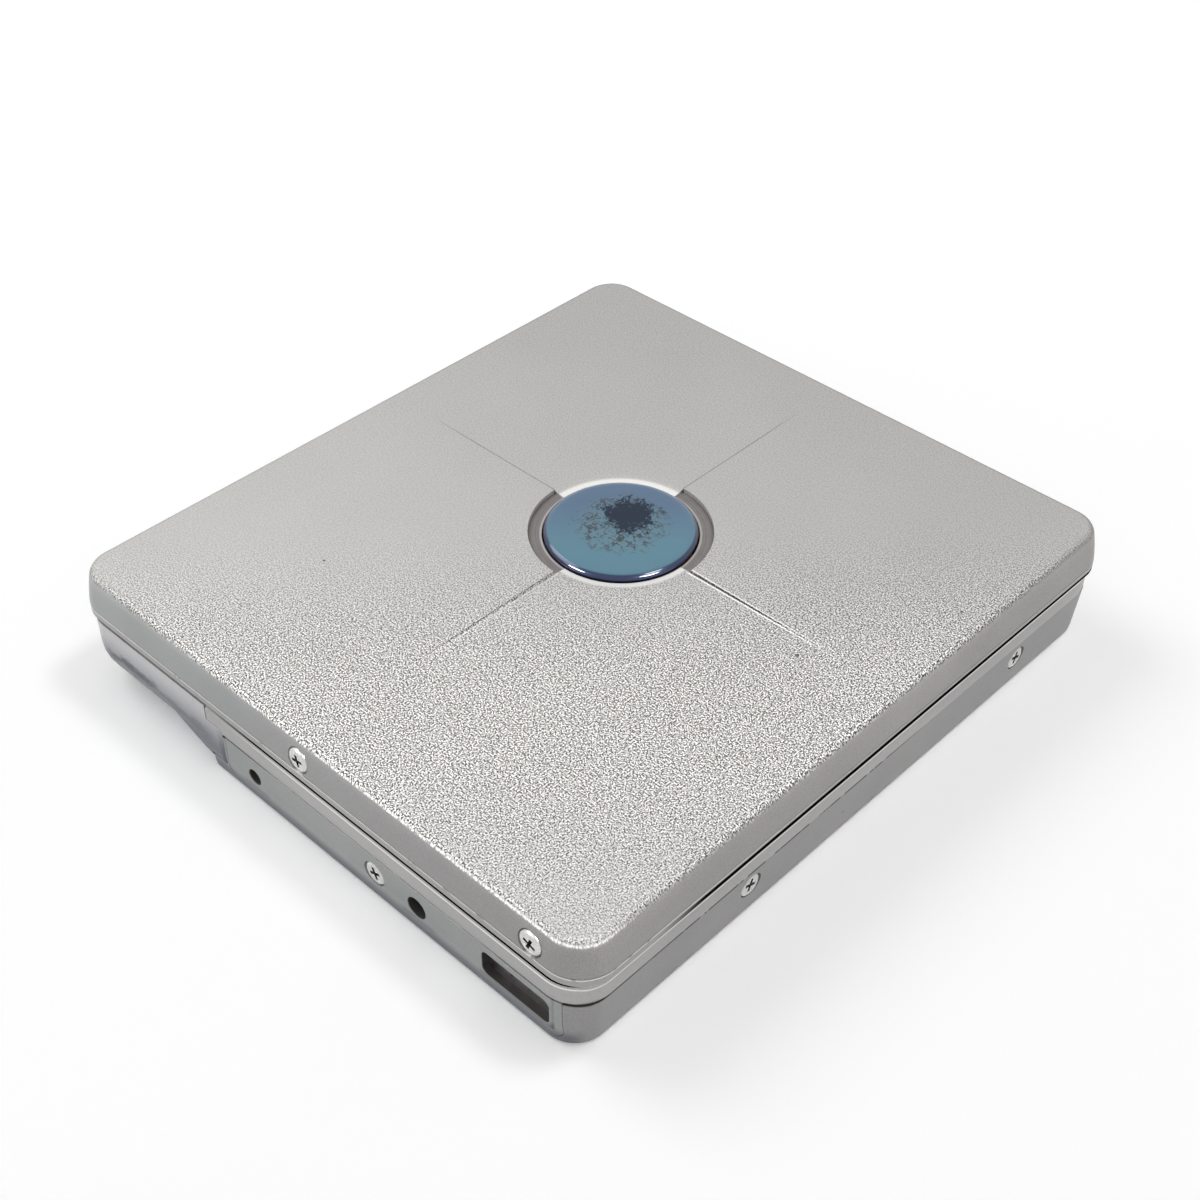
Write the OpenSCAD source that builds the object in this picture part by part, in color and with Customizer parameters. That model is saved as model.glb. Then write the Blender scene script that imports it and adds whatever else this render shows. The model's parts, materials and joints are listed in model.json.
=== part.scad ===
// Portable minidisc player: a hinged lid with a round button over a thin base.
// Millimetres, +X right, +Y back, +Z up, origin at the middle of the bottom.

/* [Cartridge] */
// Cartridge length, along the way it slides in
cartridge_l = 68; // [64:0.5:72]
// Cartridge width
cartridge_w = 72; // [68:0.5:76]
// Cartridge thickness
cartridge_h = 5; // [4.6:0.1:6]
// Room round the cartridge in its holder
bay_clear = 0.2; // [0.1:0.05:0.4]

/* [Body] */
// From the cartridge to the outside at the hinge side
hinge_margin = 2.4; // [2.4:0.05:4]
// From the cartridge to the outside at the mouth side
mouth_margin = 1.2; // [1.2:0.05:3]
// From the cartridge to the outside at the front and back
side_margin = 3.3; // [3.3:0.05:5]
// Corner radius in plan
corner_r = 4; // [3.6:0.1:5]
// Thickness of the bottom
floor_t = 0.6; // [0.5:0.05:1]
// Thickness of the lower case walls
case_wall = 0.9; // [0.8:0.05:1.2]
// How far the lid overhangs the base at the left and right
side_step = 0.4; // [0.3:0.05:0.5]
// Height of the band between the lower case and the lid
band_h = 2.45; // [2.3:0.05:3]
// Radius of the rounded underside at the hinge side
belly_r = 5; // [4.6:0.1:5]
// Gap between band and lid
parting_gap = 0.4; // [0.3:0.05:0.5]

/* [Lid] */
// How far the lid's lower edge rises over the mouth
mouth_rise = 0.25; // [0.1:0.05:0.4]
// Height of the lid frame's rim
rim_h = 1.05; // [0.95:0.05:1.3]
// Groove between the rim and the cover
groove_gap = 0.1; // [0.05:0.05:0.2]
// Thickness of the cover's top
lid_plate_t = 0.75; // [0.7:0.05:1]
// Thickness of the cover's sides
lid_wall = 1.15; // [1.1:0.05:1.2]

/* [Button] */
// Button centre, right of the middle
button_x = -0.1; // [-4:0.1:4]
// Button centre, behind the middle
button_y = 3.3; // [0:0.1:6]
// Diameter of the blue cap
button_d = 15.9; // [14:0.1:17]
// How far the cap stands above the lid
button_proud = 0.3; // [0.2:0.05:0.5]
// Button travel
button_travel = 0.3; // [0.2:0.05:0.3]
// Width of the grey ring round the cap
ring_w = 1.6; // [1.4:0.1:2]
// Where the crease lines have faded out, from the button's centre
crease_r = 29; // [24:1:32]
// Depth of the dished quarters at the ring
crease_dip = 0.2; // [0.1:0.02:0.24]
// Fall of the bevelled lip inside the dished quarters
lip_dip = 0.16; // [0.06:0.02:0.2]

/* [Screws] */
// Head diameter of the lid screws
lid_screw_d = 2.6; // [2.4:0.1:3]
// Head diameter of the case screws
case_screw_d = 2.6; // [2.2:0.1:2.8]
// Lid screw near the middle
lid_screw_x1 = -0.2; // [-4:0.1:4]
// Lid screw near the corner, from the outside
lid_screw_in = 6.1; // [5.8:0.1:12]
// Side screw near the front
side_screw_y1 = -16.8; // [-20:0.1:-10]
// Side screw near the back
side_screw_y2 = 25; // [18:0.1:28]

/* [Front panel] */
// Thickness of the front panel
panel_t = 0.9; // [0.8:0.05:1]
// From the cell to the panel's left end
panel_start = 3.25; // [3.1:0.05:3.6]
// From the panel's right end to the outside
panel_end = 2.4; // [2:0.1:2.6]
// Small locating hole, from the panel's left end
small_hole_in = 4.2; // [3.4:0.1:4.8]
// Small locating hole, diameter
small_hole_d = 1.8; // [1.4:0.1:2.2]
// Panel screw, from the large locating hole
panel_screw_in = 5.7; // [5:0.1:8]
// Large locating hole, from the terminal slot
large_hole_in = 8.4; // [6.6:0.1:9.6]
// Large locating hole, diameter
large_hole_d = 2.4; // [2:0.1:2.8]
// Depth of the locating holes
hole_deep = 2.2; // [1.8:0.1:2.3]
// Terminal slot, width
slot_w = 8.2; // [7:0.1:8.4]
// Terminal slot, from the panel's right end
slot_in = 1.2; // [1.1:0.1:2]
// Terminal slot, height
slot_h = 3; // [2.6:0.1:3.2]
// Terminal slot, depth behind the panel
slot_deep = 0.4; // [0.3:0.1:2.2]

/* [Battery] */
// Cell width
cell_w = 17; // [16:0.1:17.4]
// Cell thickness
cell_h = 6.1; // [5.9:0.1:6.6]
// Cell length
cell_l = 67; // [64:0.5:67.5]
// Battery door thickness
door_t = 1.6; // [1.4:0.05:1.7]

/* [Hinges] */
// Lid pin diameter
pin_d = 0.8; // [0.7:0.05:0.9]
// Battery door pin diameter
door_pin_d = 0.5; // [0.4:0.05:0.6]
// Lid hinge arm, distance from the middle to its near face
arm_y = 30; // [28:0.5:30]
// Lid hinge arm width
arm_w = 2; // [1.5:0.1:2.4]

/* [Mechanism] */
// Disc centre, from the hinge end of the cartridge
spindle_in = 34.2; // [33.4:0.1:35]
// Turntable diameter
table_d = 13; // [11:0.5:13.5]
// Pickup distance from the spindle at rest
pickup_in = 15.5; // [15:0.1:16.5]
// Pickup at its outer end, from the cartridge's edge
pickup_edge = 5.5; // [5.5:0.5:8]
// Main guide shaft diameter
main_shaft_d = 1.5; // [1.2:0.1:1.6]
// Second guide shaft diameter
sub_shaft_d = 1.2; // [1:0.1:1.3]
// Lead screw diameter
screw_d = 1.8; // [1.5:0.1:2]
// Thickness of the chassis plate
chassis_t = 0.6; // [0.5:0.05:0.8]

/* [Sliders and jack] */
// Open slider knob, from the right
open_in = 11.8; // [10:0.2:16]
// Open slider knob length
open_l = 7; // [5:0.5:8]
// Open slider travel
open_travel = 2.5; // [2:0.1:3]
// Hold slider knob, from the left
hold_in = 11.8; // [8:0.2:16]
// Hold slider travel
hold_travel = 2; // [1.5:0.1:2.5]
// Phones jack, from the middle
jack_x = 6; // [3:0.5:10]
// Phones jack bore diameter
jack_bore_d = 3.6; // [3.5:0.05:3.8]
// Phones jack bore depth
jack_deep = 11.5; // [11:0.1:12]

/* [Clearances] */
// Radial play of a pin or shaft that turns or slides
run_clear = 0.03; // [0.02:0.01:0.05]
// Radial play of a pin or screw that stays put
fit_clear = 0.02; // [0.01:0.01:0.03]
// Room between a moving piece and its neighbour
move_clear = 0.15; // [0.1:0.01:0.2]

/* [Hidden] */
$fn = 64;

// Overall plan size, built round the cartridge
body_w = cartridge_l + hinge_margin + mouth_margin;
body_d = cartridge_w + 2 * side_margin;
half_w = body_w / 2;
half_d = body_d / 2;
base_w = body_w - 2 * side_step;
base_half = base_w / 2;

// Heights, stacked from the bottom
seat = 0.02;
sheet_t = 0.25;
deck_t = 0.2;
ledge_h = 0.84;
cell_z = floor_t + seat;
deck_z = cell_z + cell_h + seat;
seam_z = deck_z - ledge_h;
band_z = seam_z + band_h;
lid_z = band_z + parting_gap;
rim_z = lid_z + rim_h;
cover_z = rim_z + groove_gap;
flange_z = deck_z + deck_t + 0.06;
bay_z = flange_z + sheet_t;
roof_z = bay_z + cartridge_h + bay_clear - 0.05;
lid_under = roof_z + sheet_t + 0.2;
lid_top = lid_under + lid_plate_t;

// Side faces: how far each face stands inside the widest line
foot_inset = 1.3;
toe_inset = 0.75;
toe_h = 0.22;
wall_inset = 0.65;
wall_z = 0.8;
band_inset = 0.2;
face_inset = 0.12;
upright = 0.35;
belly_steps = [for (a = [60:-10:0]) [belly_r * (1 - cos(a)) + face_inset, belly_r * (1 - sin(a))]];

// Raised lower edge of the lid over the mouth
mouth_end = half_d - corner_r - 0.5;
mouth_taper = 8;

// Cartridge bay and holder in plan
cart_x0 = -half_w + hinge_margin;
cart_x1 = cart_x0 + cartridge_l;
bay_y = cartridge_w / 2 + bay_clear;
holder_y = bay_y + sheet_t;
holder_x0 = cart_x0 - 0.1 - sheet_t;
holder_x1 = cart_x1 - 0.6;
holder_lip = 3;
rear_plate = 11.5;
frame_y = holder_y + 0.4;
ring_y = holder_y + 0.6;
ring_x0 = holder_x0 - move_clear;
ring_x1 = cart_x1 + move_clear;

// Lid hinge
hinge_x = (ring_x0 - base_half + band_inset / 2) / 2;
hinge_z = seam_z + 1.3;
eye_r = (ring_x0 + base_half - band_inset / 2) / 2 - 0.02;
pin_r = pin_d / 2;
holder_arm_w = 0.7;
holder_arm_y = arm_y + arm_w + move_clear;
notch_y0 = arm_y - 0.1;
notch_y1 = holder_arm_y + holder_arm_w + move_clear;
boss_l = 2.6;
spring_l = 2.3;
spring_gap = spring_l + 0.2;
pin_y0 = notch_y0 - spring_gap - boss_l;
pin_y1 = notch_y1 + boss_l;
hinge_relief = 0.6;

// Battery, at the left and open to the front
cell_x0 = -base_half + wall_inset + case_wall + 1.6;
cell_x1 = cell_x0 + cell_w;
cell_y0 = -half_d + 2.75;
cell_y1 = cell_y0 + cell_l;
rib_t = 0.7;
rib_x = cell_x1 + 0.2;
panel_x0 = cell_x1 + panel_start;
panel_x1 = base_half - panel_end;
stop_y = cell_y1 + 1;

// Battery door and its pin
door_y = -half_d + face_inset;
door_in = door_y + door_t;
door_pin_x = panel_x0 - 1.1;
door_pin_y = door_y + 0.6;
door_pin_r = door_pin_d / 2;
knuckle_r = 0.58;
knuckle_z0 = 2;
knuckle_z1 = seam_z + 0.6;
lug_h = 1.1;
lug_gap = 0.1;
door_z0 = 0.12;
lug_reach = 1.5;
door_gap = 0.2;
lip_y = cell_y0 - 0.2;
lip_z = 1.5;
belly_x = door_pin_x - 4;
blend_x = door_pin_x - 8;
blend_turn = 9;
door_top = band_z - 0.05;

// Front panel
panel_y = door_y;
panel_back = panel_y + panel_t;
panel_z0 = 0.75;
panel_play = 0.05;
panel_z1 = seam_z - panel_play;
panel_corner = 1.2;
panel_mid = 3.5;
slot_x1 = panel_x1 - slot_in;
slot_x0 = slot_x1 - slot_w;
slot_floor = panel_back + slot_deep;
small_hole_x = panel_x0 + small_hole_in;
large_hole_x = slot_x0 - large_hole_in;
panel_screw_x = large_hole_x - panel_screw_in;
boss_t = 0.6;
block_back = -half_d + wall_inset + case_wall + 3;

// Mechanism places and levels
spindle_x = cart_x0 + spindle_in;
pickup_travel = cartridge_w / 2 - pickup_edge - pickup_in;
board_front = 5.6;
jack_half = 3.4;
board_z = floor_t + 0.4;
board_t = 0.5;
board_top = board_z + board_t;
chassis_z = deck_z - 1.84;
chassis_top = chassis_z + chassis_t;
shaft_z = chassis_z - 1;
stator_z = board_top + 0.5;
yoke_z = stator_z + 1.9;
yoke_t = 0.5;
table_z = chassis_top + 0.2;
table_t = 0.5;
main_shaft_x = spindle_x - 9;
sub_shaft_x = spindle_x + 8.6;
screw_x = spindle_x + 12.2;
sled_w = 11.6;
sled_l = 10;
sled_y = -pickup_in;
lug_t = 0.8;
shaft_y0 = sled_y - pickup_travel - sled_l / 2 - 0.9;
shaft_y1 = sled_y + sled_l / 2 + 2.8;
motor_r = 2.3;
motor_l = 9;
motor_y = sled_y + 2;
chassis_x0 = rib_x + rib_t + 1;
chassis_x1 = half_w - 8.8;
chassis_y1 = 24;
dampers = [[main_shaft_x - 3.7, -22], [main_shaft_x - 3.7, 20], [chassis_x1 - 3.5, -1]];
bush_r = 1.7;
bush_l = 1.5;
stem_r = 0.7;
post_r = 1.3;

// Lid top and button stack
cap_r = button_d / 2;
well_r = cap_r + move_clear;
ring_r = cap_r + ring_w;
ring_t = 0.2;
ring_top = lid_top - 0.45;
carrier_top = ring_top + 0.05;
strip_t = 0.1;
strip_z = roof_z;
carrier_z = strip_z + strip_t + button_travel + 0.05;
strip_w = 6;
strip_half = ring_r + 3.4;

// Sliders at the back
open_x = half_w - open_in;
hold_x = hold_in - half_w;
slider_face = half_d - 0.05;
open_z = hinge_z - 0.05;
open_h = 1.4;
hold_z = 3.4;
hold_floor = half_d - face_inset - 0.6;

// Screw seats
side_screw_z = seam_z - 2.1;
screw_head_h = 0.4;
side_seat = base_half - band_inset - 0.25;
tab_in = side_seat - 1.75;
tab_out = base_half - wall_inset - case_wall - 0.05;
lid_screw_x2 = half_w - lid_screw_in;
lid_screw_z = cover_z + 1.25;
lid_screw_seat = half_d - 0.62;
lid_head_h = 0.55;

// Solid between two corners
module span(low, high) {
  translate(low) cube(high - low);
}

// Round bars along each axis
module rod_x(y, z, r, x0, x1) {
  translate([x0, y, z]) rotate([0, 90, 0]) cylinder(r = r, h = x1 - x0);
}
module rod_y(x, z, r, y0, y1) {
  translate([x, y1, z]) rotate([90, 0, 0]) cylinder(r = r, h = y1 - y0);
}
module rod_z(x, y, r, z0, z1) {
  translate([x, y, z0]) cylinder(r = r, h = z1 - z0);
}

// Rectangle with round corners
module rounded_square(w, d, r) {
  square([w - 2 * r, d], center = true);
  square([w, d - 2 * r], center = true);
  for (x = [-1, 1], y = [-1, 1]) translate([x * (w / 2 - r), y * (d / 2 - r)]) circle(r);
}

// Upright block with round corners
module slab(w, d, r, z0, z1) {
  translate([0, 0, z0]) linear_extrude(z1 - z0) rounded_square(w, d, r);
}

// Block whose sides follow a list of [inset, height] points, with round corners
module shaped_slab(w, d, r, side) {
  last = len(side) - 1;
  function face(half) = concat(
    [for (p = side) [half - p[0], p[1]]],
    [for (i = [last:-1:0]) [side[i][0] - half, side[i][1]]]
  );
  translate([r - w / 2, 0, 0]) rotate([90, 0, 90]) linear_extrude(w - 2 * r) polygon(face(d / 2));
  translate([0, d / 2 - r, 0]) rotate([90, 0, 0]) linear_extrude(d - 2 * r) polygon(face(w / 2));
  for (quarter = [0:3]) {
    x = (quarter == 0 || quarter == 3) ? 1 : -1;
    y = (quarter < 2) ? 1 : -1;
    translate([x * (w / 2 - r), y * (d / 2 - r), 0]) rotate([0, 0, 90 * quarter])
      rotate_extrude(angle = 90)
        polygon(concat([[0, side[0][1]]], [for (p = side) [r - p[0], p[1]]], [[0, side[last][1]]]));
  }
}

// Cross-head screw along +Z, with the underside of its head at zero
module cross_screw(head_d, head_h, shank_r, shank_l) {
  arm = head_d * 0.52;
  slot = head_d * 0.14;
  difference() {
    union() {
      rotate_extrude() polygon([
        [0, 0], [head_d / 2, 0], [head_d / 2, head_h * 0.45], [head_d * 0.4, head_h * 0.85],
        [head_d * 0.28, head_h], [0, head_h]
      ]);
      translate([0, 0, -shank_l]) cylinder(r = shank_r, h = shank_l);
    }
    for (turn = [0, 90]) rotate([0, 0, turn])
      translate([-arm / 2, -slot / 2, head_h * 0.3]) cube([arm, slot, head_h]);
  }
}

// One unbroken coil of round wire round +Z
module coil(r, wire, turns, height) {
  steps = 8 * turns;
  sides = 6;
  function place(i, j) =
    let (turn = 360 * i / 8, side = 360 * j / sides, reach = r + wire / 2 * cos(side))
    [reach * cos(turn), reach * sin(turn), height * i / steps + wire / 2 * sin(side)];
  points = [for (i = [0:steps], j = [0:sides - 1]) place(i, j)];
  walls = [for (i = [0:steps - 1], j = [0:sides - 1], half = [0, 1])
    let (a = i * sides + j, b = i * sides + (j + 1) % sides)
    half == 0 ? [a, b, a + sides] : [b, b + sides, a + sides]];
  first = [for (j = [1:sides - 2]) [0, j + 1, j]];
  end = steps * sides;
  final = [for (j = [1:sides - 2]) [end, end + j, end + j + 1]];
  polyhedron(points, concat(walls, first, final));
}

// Form with flat front and back faces, from the foot up to a height, with further points at its top
module flat_faced(top, upper) {
  intersection() {
    shaped_slab(base_w, body_d + 2 * upright, corner_r, concat([
      [foot_inset, 0], [toe_inset, toe_h], [wall_inset, wall_z], [band_inset, seam_z]
    ], upper));
    slab(base_w, body_d - 2 * face_inset, corner_r, 0, top);
  }
}

// Outer form of the lower case, from its foot to the seam
module lower_form() {
  flat_faced(seam_z, []);
}

// Outer form of the battery door, which runs past the seam without a step
module door_form() {
  flat_faced(band_z, [[band_inset / 2, seam_z + 0.5], [band_inset / 2, band_z]]);
}

// Rounded underside along the hinge side and under the battery door
module belly_form() {
  past = 10;
  translate([0, past, 0]) shaped_slab(base_w, body_d + 2 * past, corner_r,
    concat([[belly_r * 0.7, 0]], belly_steps, [[0, belly_r + 0.3], [0, band_z]]));
}

// The rounding under the door, turned outwards so that it runs out at the door's hinge
module belly_blend() {
  reach = 12;
  translate([blend_x, -half_d, 0]) rotate([0, blend_turn * 0.64, -blend_turn * 0.77]) translate([-2, 0, 0])
    rotate([90, 0, 90]) linear_extrude(reach + 2)
      polygon(concat([[reach, -1], [belly_r * 0.7, 0]], belly_steps,
        [[0, belly_r + 0.3], [0, reach], [reach, reach]]));
}

// Outer form of the band
module band_form() {
  shaped_slab(base_w, body_d, corner_r, [
    [band_inset, seam_z], [band_inset / 2, seam_z + 0.5], [band_inset / 2, band_z - 0.4],
    [band_inset * 1.5, band_z]
  ]);
}

// Room for the battery door, grown by a clearance
module door_room(grow) {
  lug_x = door_pin_x - lug_reach;
  span([-half_w - 1, -half_d - 1, -1], [lug_x, door_in + grow, band_z + 1]);
  span([lug_x - 0.1, -half_d - 1, knuckle_z0 - lug_gap], [door_pin_x, door_in + grow, knuckle_z1 + lug_gap]);
}

// Clearance round the door's knuckle, and for the door's face when it is open
module knuckle_room() {
  swing_x = door_pin_x + door_pin_y - door_y + 0.12;
  rod_z(door_pin_x, door_pin_y, knuckle_r + move_clear, knuckle_z0 - lug_gap, knuckle_z1 + lug_gap);
  span([door_pin_x, -half_d - 1, knuckle_z0 - lug_gap], [swing_x, door_pin_y, knuckle_z1 + lug_gap]);
}

// Strip over the left wall that the lid swings past
module hinge_swing() {
  span([-half_w - 1, -half_d - 1, band_z - hinge_relief], [ring_x0, half_d + 1, band_z + 1]);
}

// Places of the side screws
function side_screw_places() = [
  for (side = [-1, 1], y = [side_screw_y1, side_screw_y2]) [side, y]
];

module lower_case() {
  cavity_w = base_w - 2 * (wall_inset + case_wall);
  cavity_d = body_d - 2 * (wall_inset + case_wall);
  wall_y = cavity_d / 2;
  color([0.62, 0.63, 0.65]) difference() {
    union() {
      difference() {
        intersection() {
          lower_form();
          union() {
            belly_form();
            span([belly_x, -half_d, -1], [half_w, half_d, seam_z + 1]);
          }
        }
        difference() {
          slab(cavity_w, cavity_d, corner_r - 1.8, floor_t, seam_z + 1);
          // bilge between the cell and the rounded underside
          translate([cell_x0, half_d, 0]) rotate([90, 0, 0]) linear_extrude(body_d) polygon([
            [-3, 0], [0.65, 0], [0.65, 0.66], [0.5, 0.75], [0.15, 1.05], [-0.1, 1.5], [-0.75, 1.9],
            [-1.3, 2.5], [-3, 2.5]
          ]);
        }
      }
      // ribs beside and behind the cell
      span([rib_x, cell_y0 + 1, floor_t - 0.1], [rib_x + rib_t, stop_y + rib_t, seam_z]);
      span([cell_x0 - 0.1, stop_y, floor_t - 0.1], [rib_x + rib_t, stop_y + rib_t, seam_z]);
      span([-cavity_w / 2 - 0.1, stop_y, floor_t + 1.2], [cell_x0, stop_y + rib_t, seam_z]);
      span([cell_x0 - 0.6, cell_y0 + 6, floor_t + 0.4], [cell_x0 - 0.1, cell_y1 - 2, floor_t + 2]);
      // posts under the chassis and the board
      for (p = dampers) rod_z(p[0], p[1], post_r, floor_t - 0.1, chassis_z - bush_l);
      for (x = [chassis_x0 + 0.6, cavity_w / 2 - 3], y = [board_front + 2 - half_d, wall_y - 3])
        rod_z(x, y, 1.2, floor_t - 0.1, board_z);
    }
    // front left corner, taken by the battery door
    door_room(0.12);
    span([cell_x0 - 0.8, -half_d - 1, floor_t], [cell_x1 + 0.2, -wall_y + 1, seam_z + 1]);
    knuckle_room();
    rod_z(door_pin_x, door_pin_y, door_pin_r + fit_clear, knuckle_z0 - lug_gap - lug_h, knuckle_z0);
    // seat of the front panel, and what passes through the wall behind it
    translate([0, panel_back, 0]) rotate([90, 0, 0]) linear_extrude(panel_t + 1) panel_outline(panel_play);
    for (hole = [[small_hole_x, small_hole_d], [large_hole_x, large_hole_d]])
      rod_y(hole[0], panel_mid, hole[1] / 2 + boss_t + 0.1, panel_back - 0.1, -wall_y + 0.5);
    rod_y(panel_screw_x, panel_mid, stem_r + fit_clear, panel_back - 0.1, -wall_y + 0.5);
    span([slot_x0 - 0.7, panel_back - 0.1, panel_mid + 0.1 - slot_h / 2 - 0.6],
         [slot_x1 + 0.7, -wall_y + 0.5, panel_mid + 0.1 + slot_h / 2 + 0.6]);
    // side screws
    for (p = side_screw_places()) mirror([p[0] < 0 ? 1 : 0, 0, 0]) {
      rod_x(p[1], side_screw_z, case_screw_d / 2 + 0.06, side_seat - screw_head_h, base_half + 1);
      rod_x(p[1], side_screw_z, stem_r + fit_clear, tab_in, base_half);
    }
    // chassis screws
    for (p = dampers) rod_z(p[0], p[1], stem_r + fit_clear, floor_t + 0.8, chassis_z);
    // phones jack collar and hold slider in the back wall
    rod_y(jack_x, panel_mid, jack_bore_d / 2 + 0.4, wall_y - 0.5, half_d + 1);
    span([hold_x - 3.2, hold_floor, hold_z - 1.05], [hold_x + 3.2 + hold_travel, half_d + 1, hold_z + 1.05]);
    span([hold_x - 1 - move_clear, wall_y - 0.5, hold_z - 0.5 - move_clear],
         [hold_x + 1 + hold_travel + move_clear, half_d, hold_z + 0.5 + move_clear]);
  }
}

module mid_frame() {
  low_x0 = -base_half + band_inset + 2.35;
  low_x1 = ring_x1 - 0.85;
  low_y = ring_y - 1;
  slot_y = slider_face - 0.6;
  color([0.7, 0.71, 0.72]) difference() {
    union() {
      difference() {
        band_form();
        span([ring_x0, -ring_y, deck_z], [ring_x1, ring_y, band_z + 1]);
        span([low_x0, -low_y, seam_z - 1], [low_x1, low_y, band_z + 1]);
        hinge_swing();
        door_room(0.08);
      }
      // tabs that the side screws hold
      for (p = side_screw_places()) mirror([p[0] < 0 ? 1 : 0, 0, 0]) {
        span([tab_in, p[1] - 2.5, side_screw_z - 1.2], [tab_out, p[1] + 2.5, deck_z]);
        span([tab_in, p[1] - 2.5, seam_z], [tab_out + 0.6, p[1] + 2.5, deck_z]);
      }
    }
    // way in for the cell, under a strip that closes the ring
    span([cell_x0 - 0.6, -half_d, seam_z - 1], [cell_x1 + 0.3, -low_y + 0.1, deck_z]);
    knuckle_room();
    rod_z(door_pin_x, door_pin_y, door_pin_r + fit_clear, knuckle_z1, knuckle_z1 + lug_gap + lug_h + 0.1);
    for (p = side_screw_places()) mirror([p[0] < 0 ? 1 : 0, 0, 0])
      rod_x(p[1], side_screw_z, stem_r + fit_clear, tab_in - 0.5, tab_out + 0.1);
    // hinge: pin bores and the notches for arms and springs
    for (side = [-1, 1]) {
      rod_y(hinge_x, hinge_z, pin_r + fit_clear, min(side * pin_y0, side * pin_y1),
            max(side * pin_y0, side * pin_y1));
      span([-half_w, min(side * notch_y0, side * notch_y1), hinge_z - eye_r - move_clear],
           [ring_x0 + 0.1, max(side * notch_y0, side * notch_y1), band_z + 1]);
      span([-half_w, min(side * notch_y0, side * (notch_y0 - spring_gap)), hinge_z - eye_r - move_clear],
           [ring_x0 + 0.1, max(side * notch_y0, side * (notch_y0 - spring_gap)), band_z + 1]);
    }
    // open slider: outer pocket, slot and inner pocket
    span([open_x - open_l / 2 - 0.3, slot_y - 0.05, open_z - open_h / 2 - move_clear],
         [open_x + open_l / 2 + open_travel + 0.3, half_d + 1, open_z + open_h / 2 + move_clear]);
    span([open_x - 1.5 - move_clear, ring_y, open_z - 0.35 - move_clear],
         [open_x + 1.5 + open_travel + move_clear, half_d, open_z + 0.35 + move_clear]);
    span([open_x - 3 - move_clear, low_y, deck_z],
         [open_x + 3 + open_travel + move_clear, slot_y - 0.45, band_z + 1]);
  }
}

// Outline of the front panel, seen from the front, grown by a clearance; only its foot has round corners
module panel_outline(grow) {
  width = panel_x1 - panel_x0 + 2 * grow;
  translate([(panel_x0 + panel_x1) / 2, (panel_z0 + panel_z1) / 2]) {
    rounded_square(width, panel_z1 - panel_z0 + 2 * grow, panel_corner + grow);
    translate([-width / 2, 0]) square([width, (panel_z1 - panel_z0) / 2 + grow]);
  }
}

module front_panel() {
  wall_back = panel_y + hole_deep + 0.3;
  color([0.66, 0.68, 0.69]) difference() {
    union() {
      intersection() {
        translate([0, panel_back, 0]) rotate([90, 0, 0]) linear_extrude(panel_t) panel_outline(0);
        lower_form();
      }
      for (hole = [[small_hole_x, small_hole_d], [large_hole_x, large_hole_d]])
        rod_y(hole[0], panel_mid, hole[1] / 2 + boss_t, panel_back - 0.1, wall_back);
    }
    for (hole = [[small_hole_x, small_hole_d], [large_hole_x, large_hole_d]])
      rod_y(hole[0], panel_mid, hole[1] / 2, panel_y - 1, panel_y + hole_deep);
    rod_y(panel_screw_x, panel_mid, case_screw_d / 2 + 0.06, panel_y - 1, panel_y + screw_head_h);
    rod_y(panel_screw_x, panel_mid, stem_r + fit_clear, panel_y, panel_back + 1);
    translate([(slot_x0 + slot_x1) / 2, panel_back + 0.5, panel_mid + 0.1]) rotate([90, 0, 0])
      linear_extrude(panel_t + 2) rounded_square(slot_x1 - slot_x0, slot_h, 0.7);
    knuckle_room();
  }
}

module panel_screw() {
  color([0.82, 0.82, 0.8]) translate([panel_screw_x, panel_y + screw_head_h, panel_mid]) rotate([90, 0, 0])
    cross_screw(case_screw_d, screw_head_h - 0.05, stem_r, 1.6);
}

module case_screws() {
  color([0.82, 0.82, 0.8]) for (p = side_screw_places()) mirror([p[0] < 0 ? 1 : 0, 0, 0])
    translate([side_seat - screw_head_h, p[1], side_screw_z]) rotate([0, 90, 0])
      cross_screw(case_screw_d, screw_head_h, stem_r, 1.2);
}

module deck_plate() {
  edge = 0.12;
  color([0.2, 0.2, 0.21]) difference() {
    span([ring_x0 + edge, -ring_y + edge, deck_z], [ring_x1 - edge, ring_y - edge, deck_z + deck_t]);
    rod_z(spindle_x, 0, table_d / 2 + 0.7, deck_z - 1, deck_z + 1);
    span([spindle_x - 5, sled_y - pickup_travel - 3.8, deck_z - 1],
         [spindle_x + 5, sled_y + 3.8, deck_z + 1]);
    // clear of the hinge arms, the door hinge and the open slider
    for (side = [-1, 1]) translate([ring_x0, side * (notch_y0 + notch_y1) / 2, deck_z])
      cube([1, notch_y1 - notch_y0 + 0.4, 2], center = true);
    span([open_x - 3.3, ring_y - 1.2, deck_z - 1], [open_x + 3.3 + open_travel, ring_y, deck_z + 1]);
  }
}

module main_board() {
  x0 = rib_x + rib_t + 0.3;
  x1 = base_half - wall_inset - case_wall - 0.4;
  y0 = -half_d + board_front;
  y1 = half_d - wall_inset - case_wall - 0.4;
  color([0.12, 0.35, 0.22]) difference() {
    intersection() {
      span([x0, y0, board_z], [x1, y1, board_top]);
      slab(2 * x1, 2 * y1, corner_r - 2.2, board_z, board_top);
    }
    for (p = dampers) rod_z(p[0], p[1], post_r + 0.3, board_z - 1, board_top + 1);
  }
}

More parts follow.
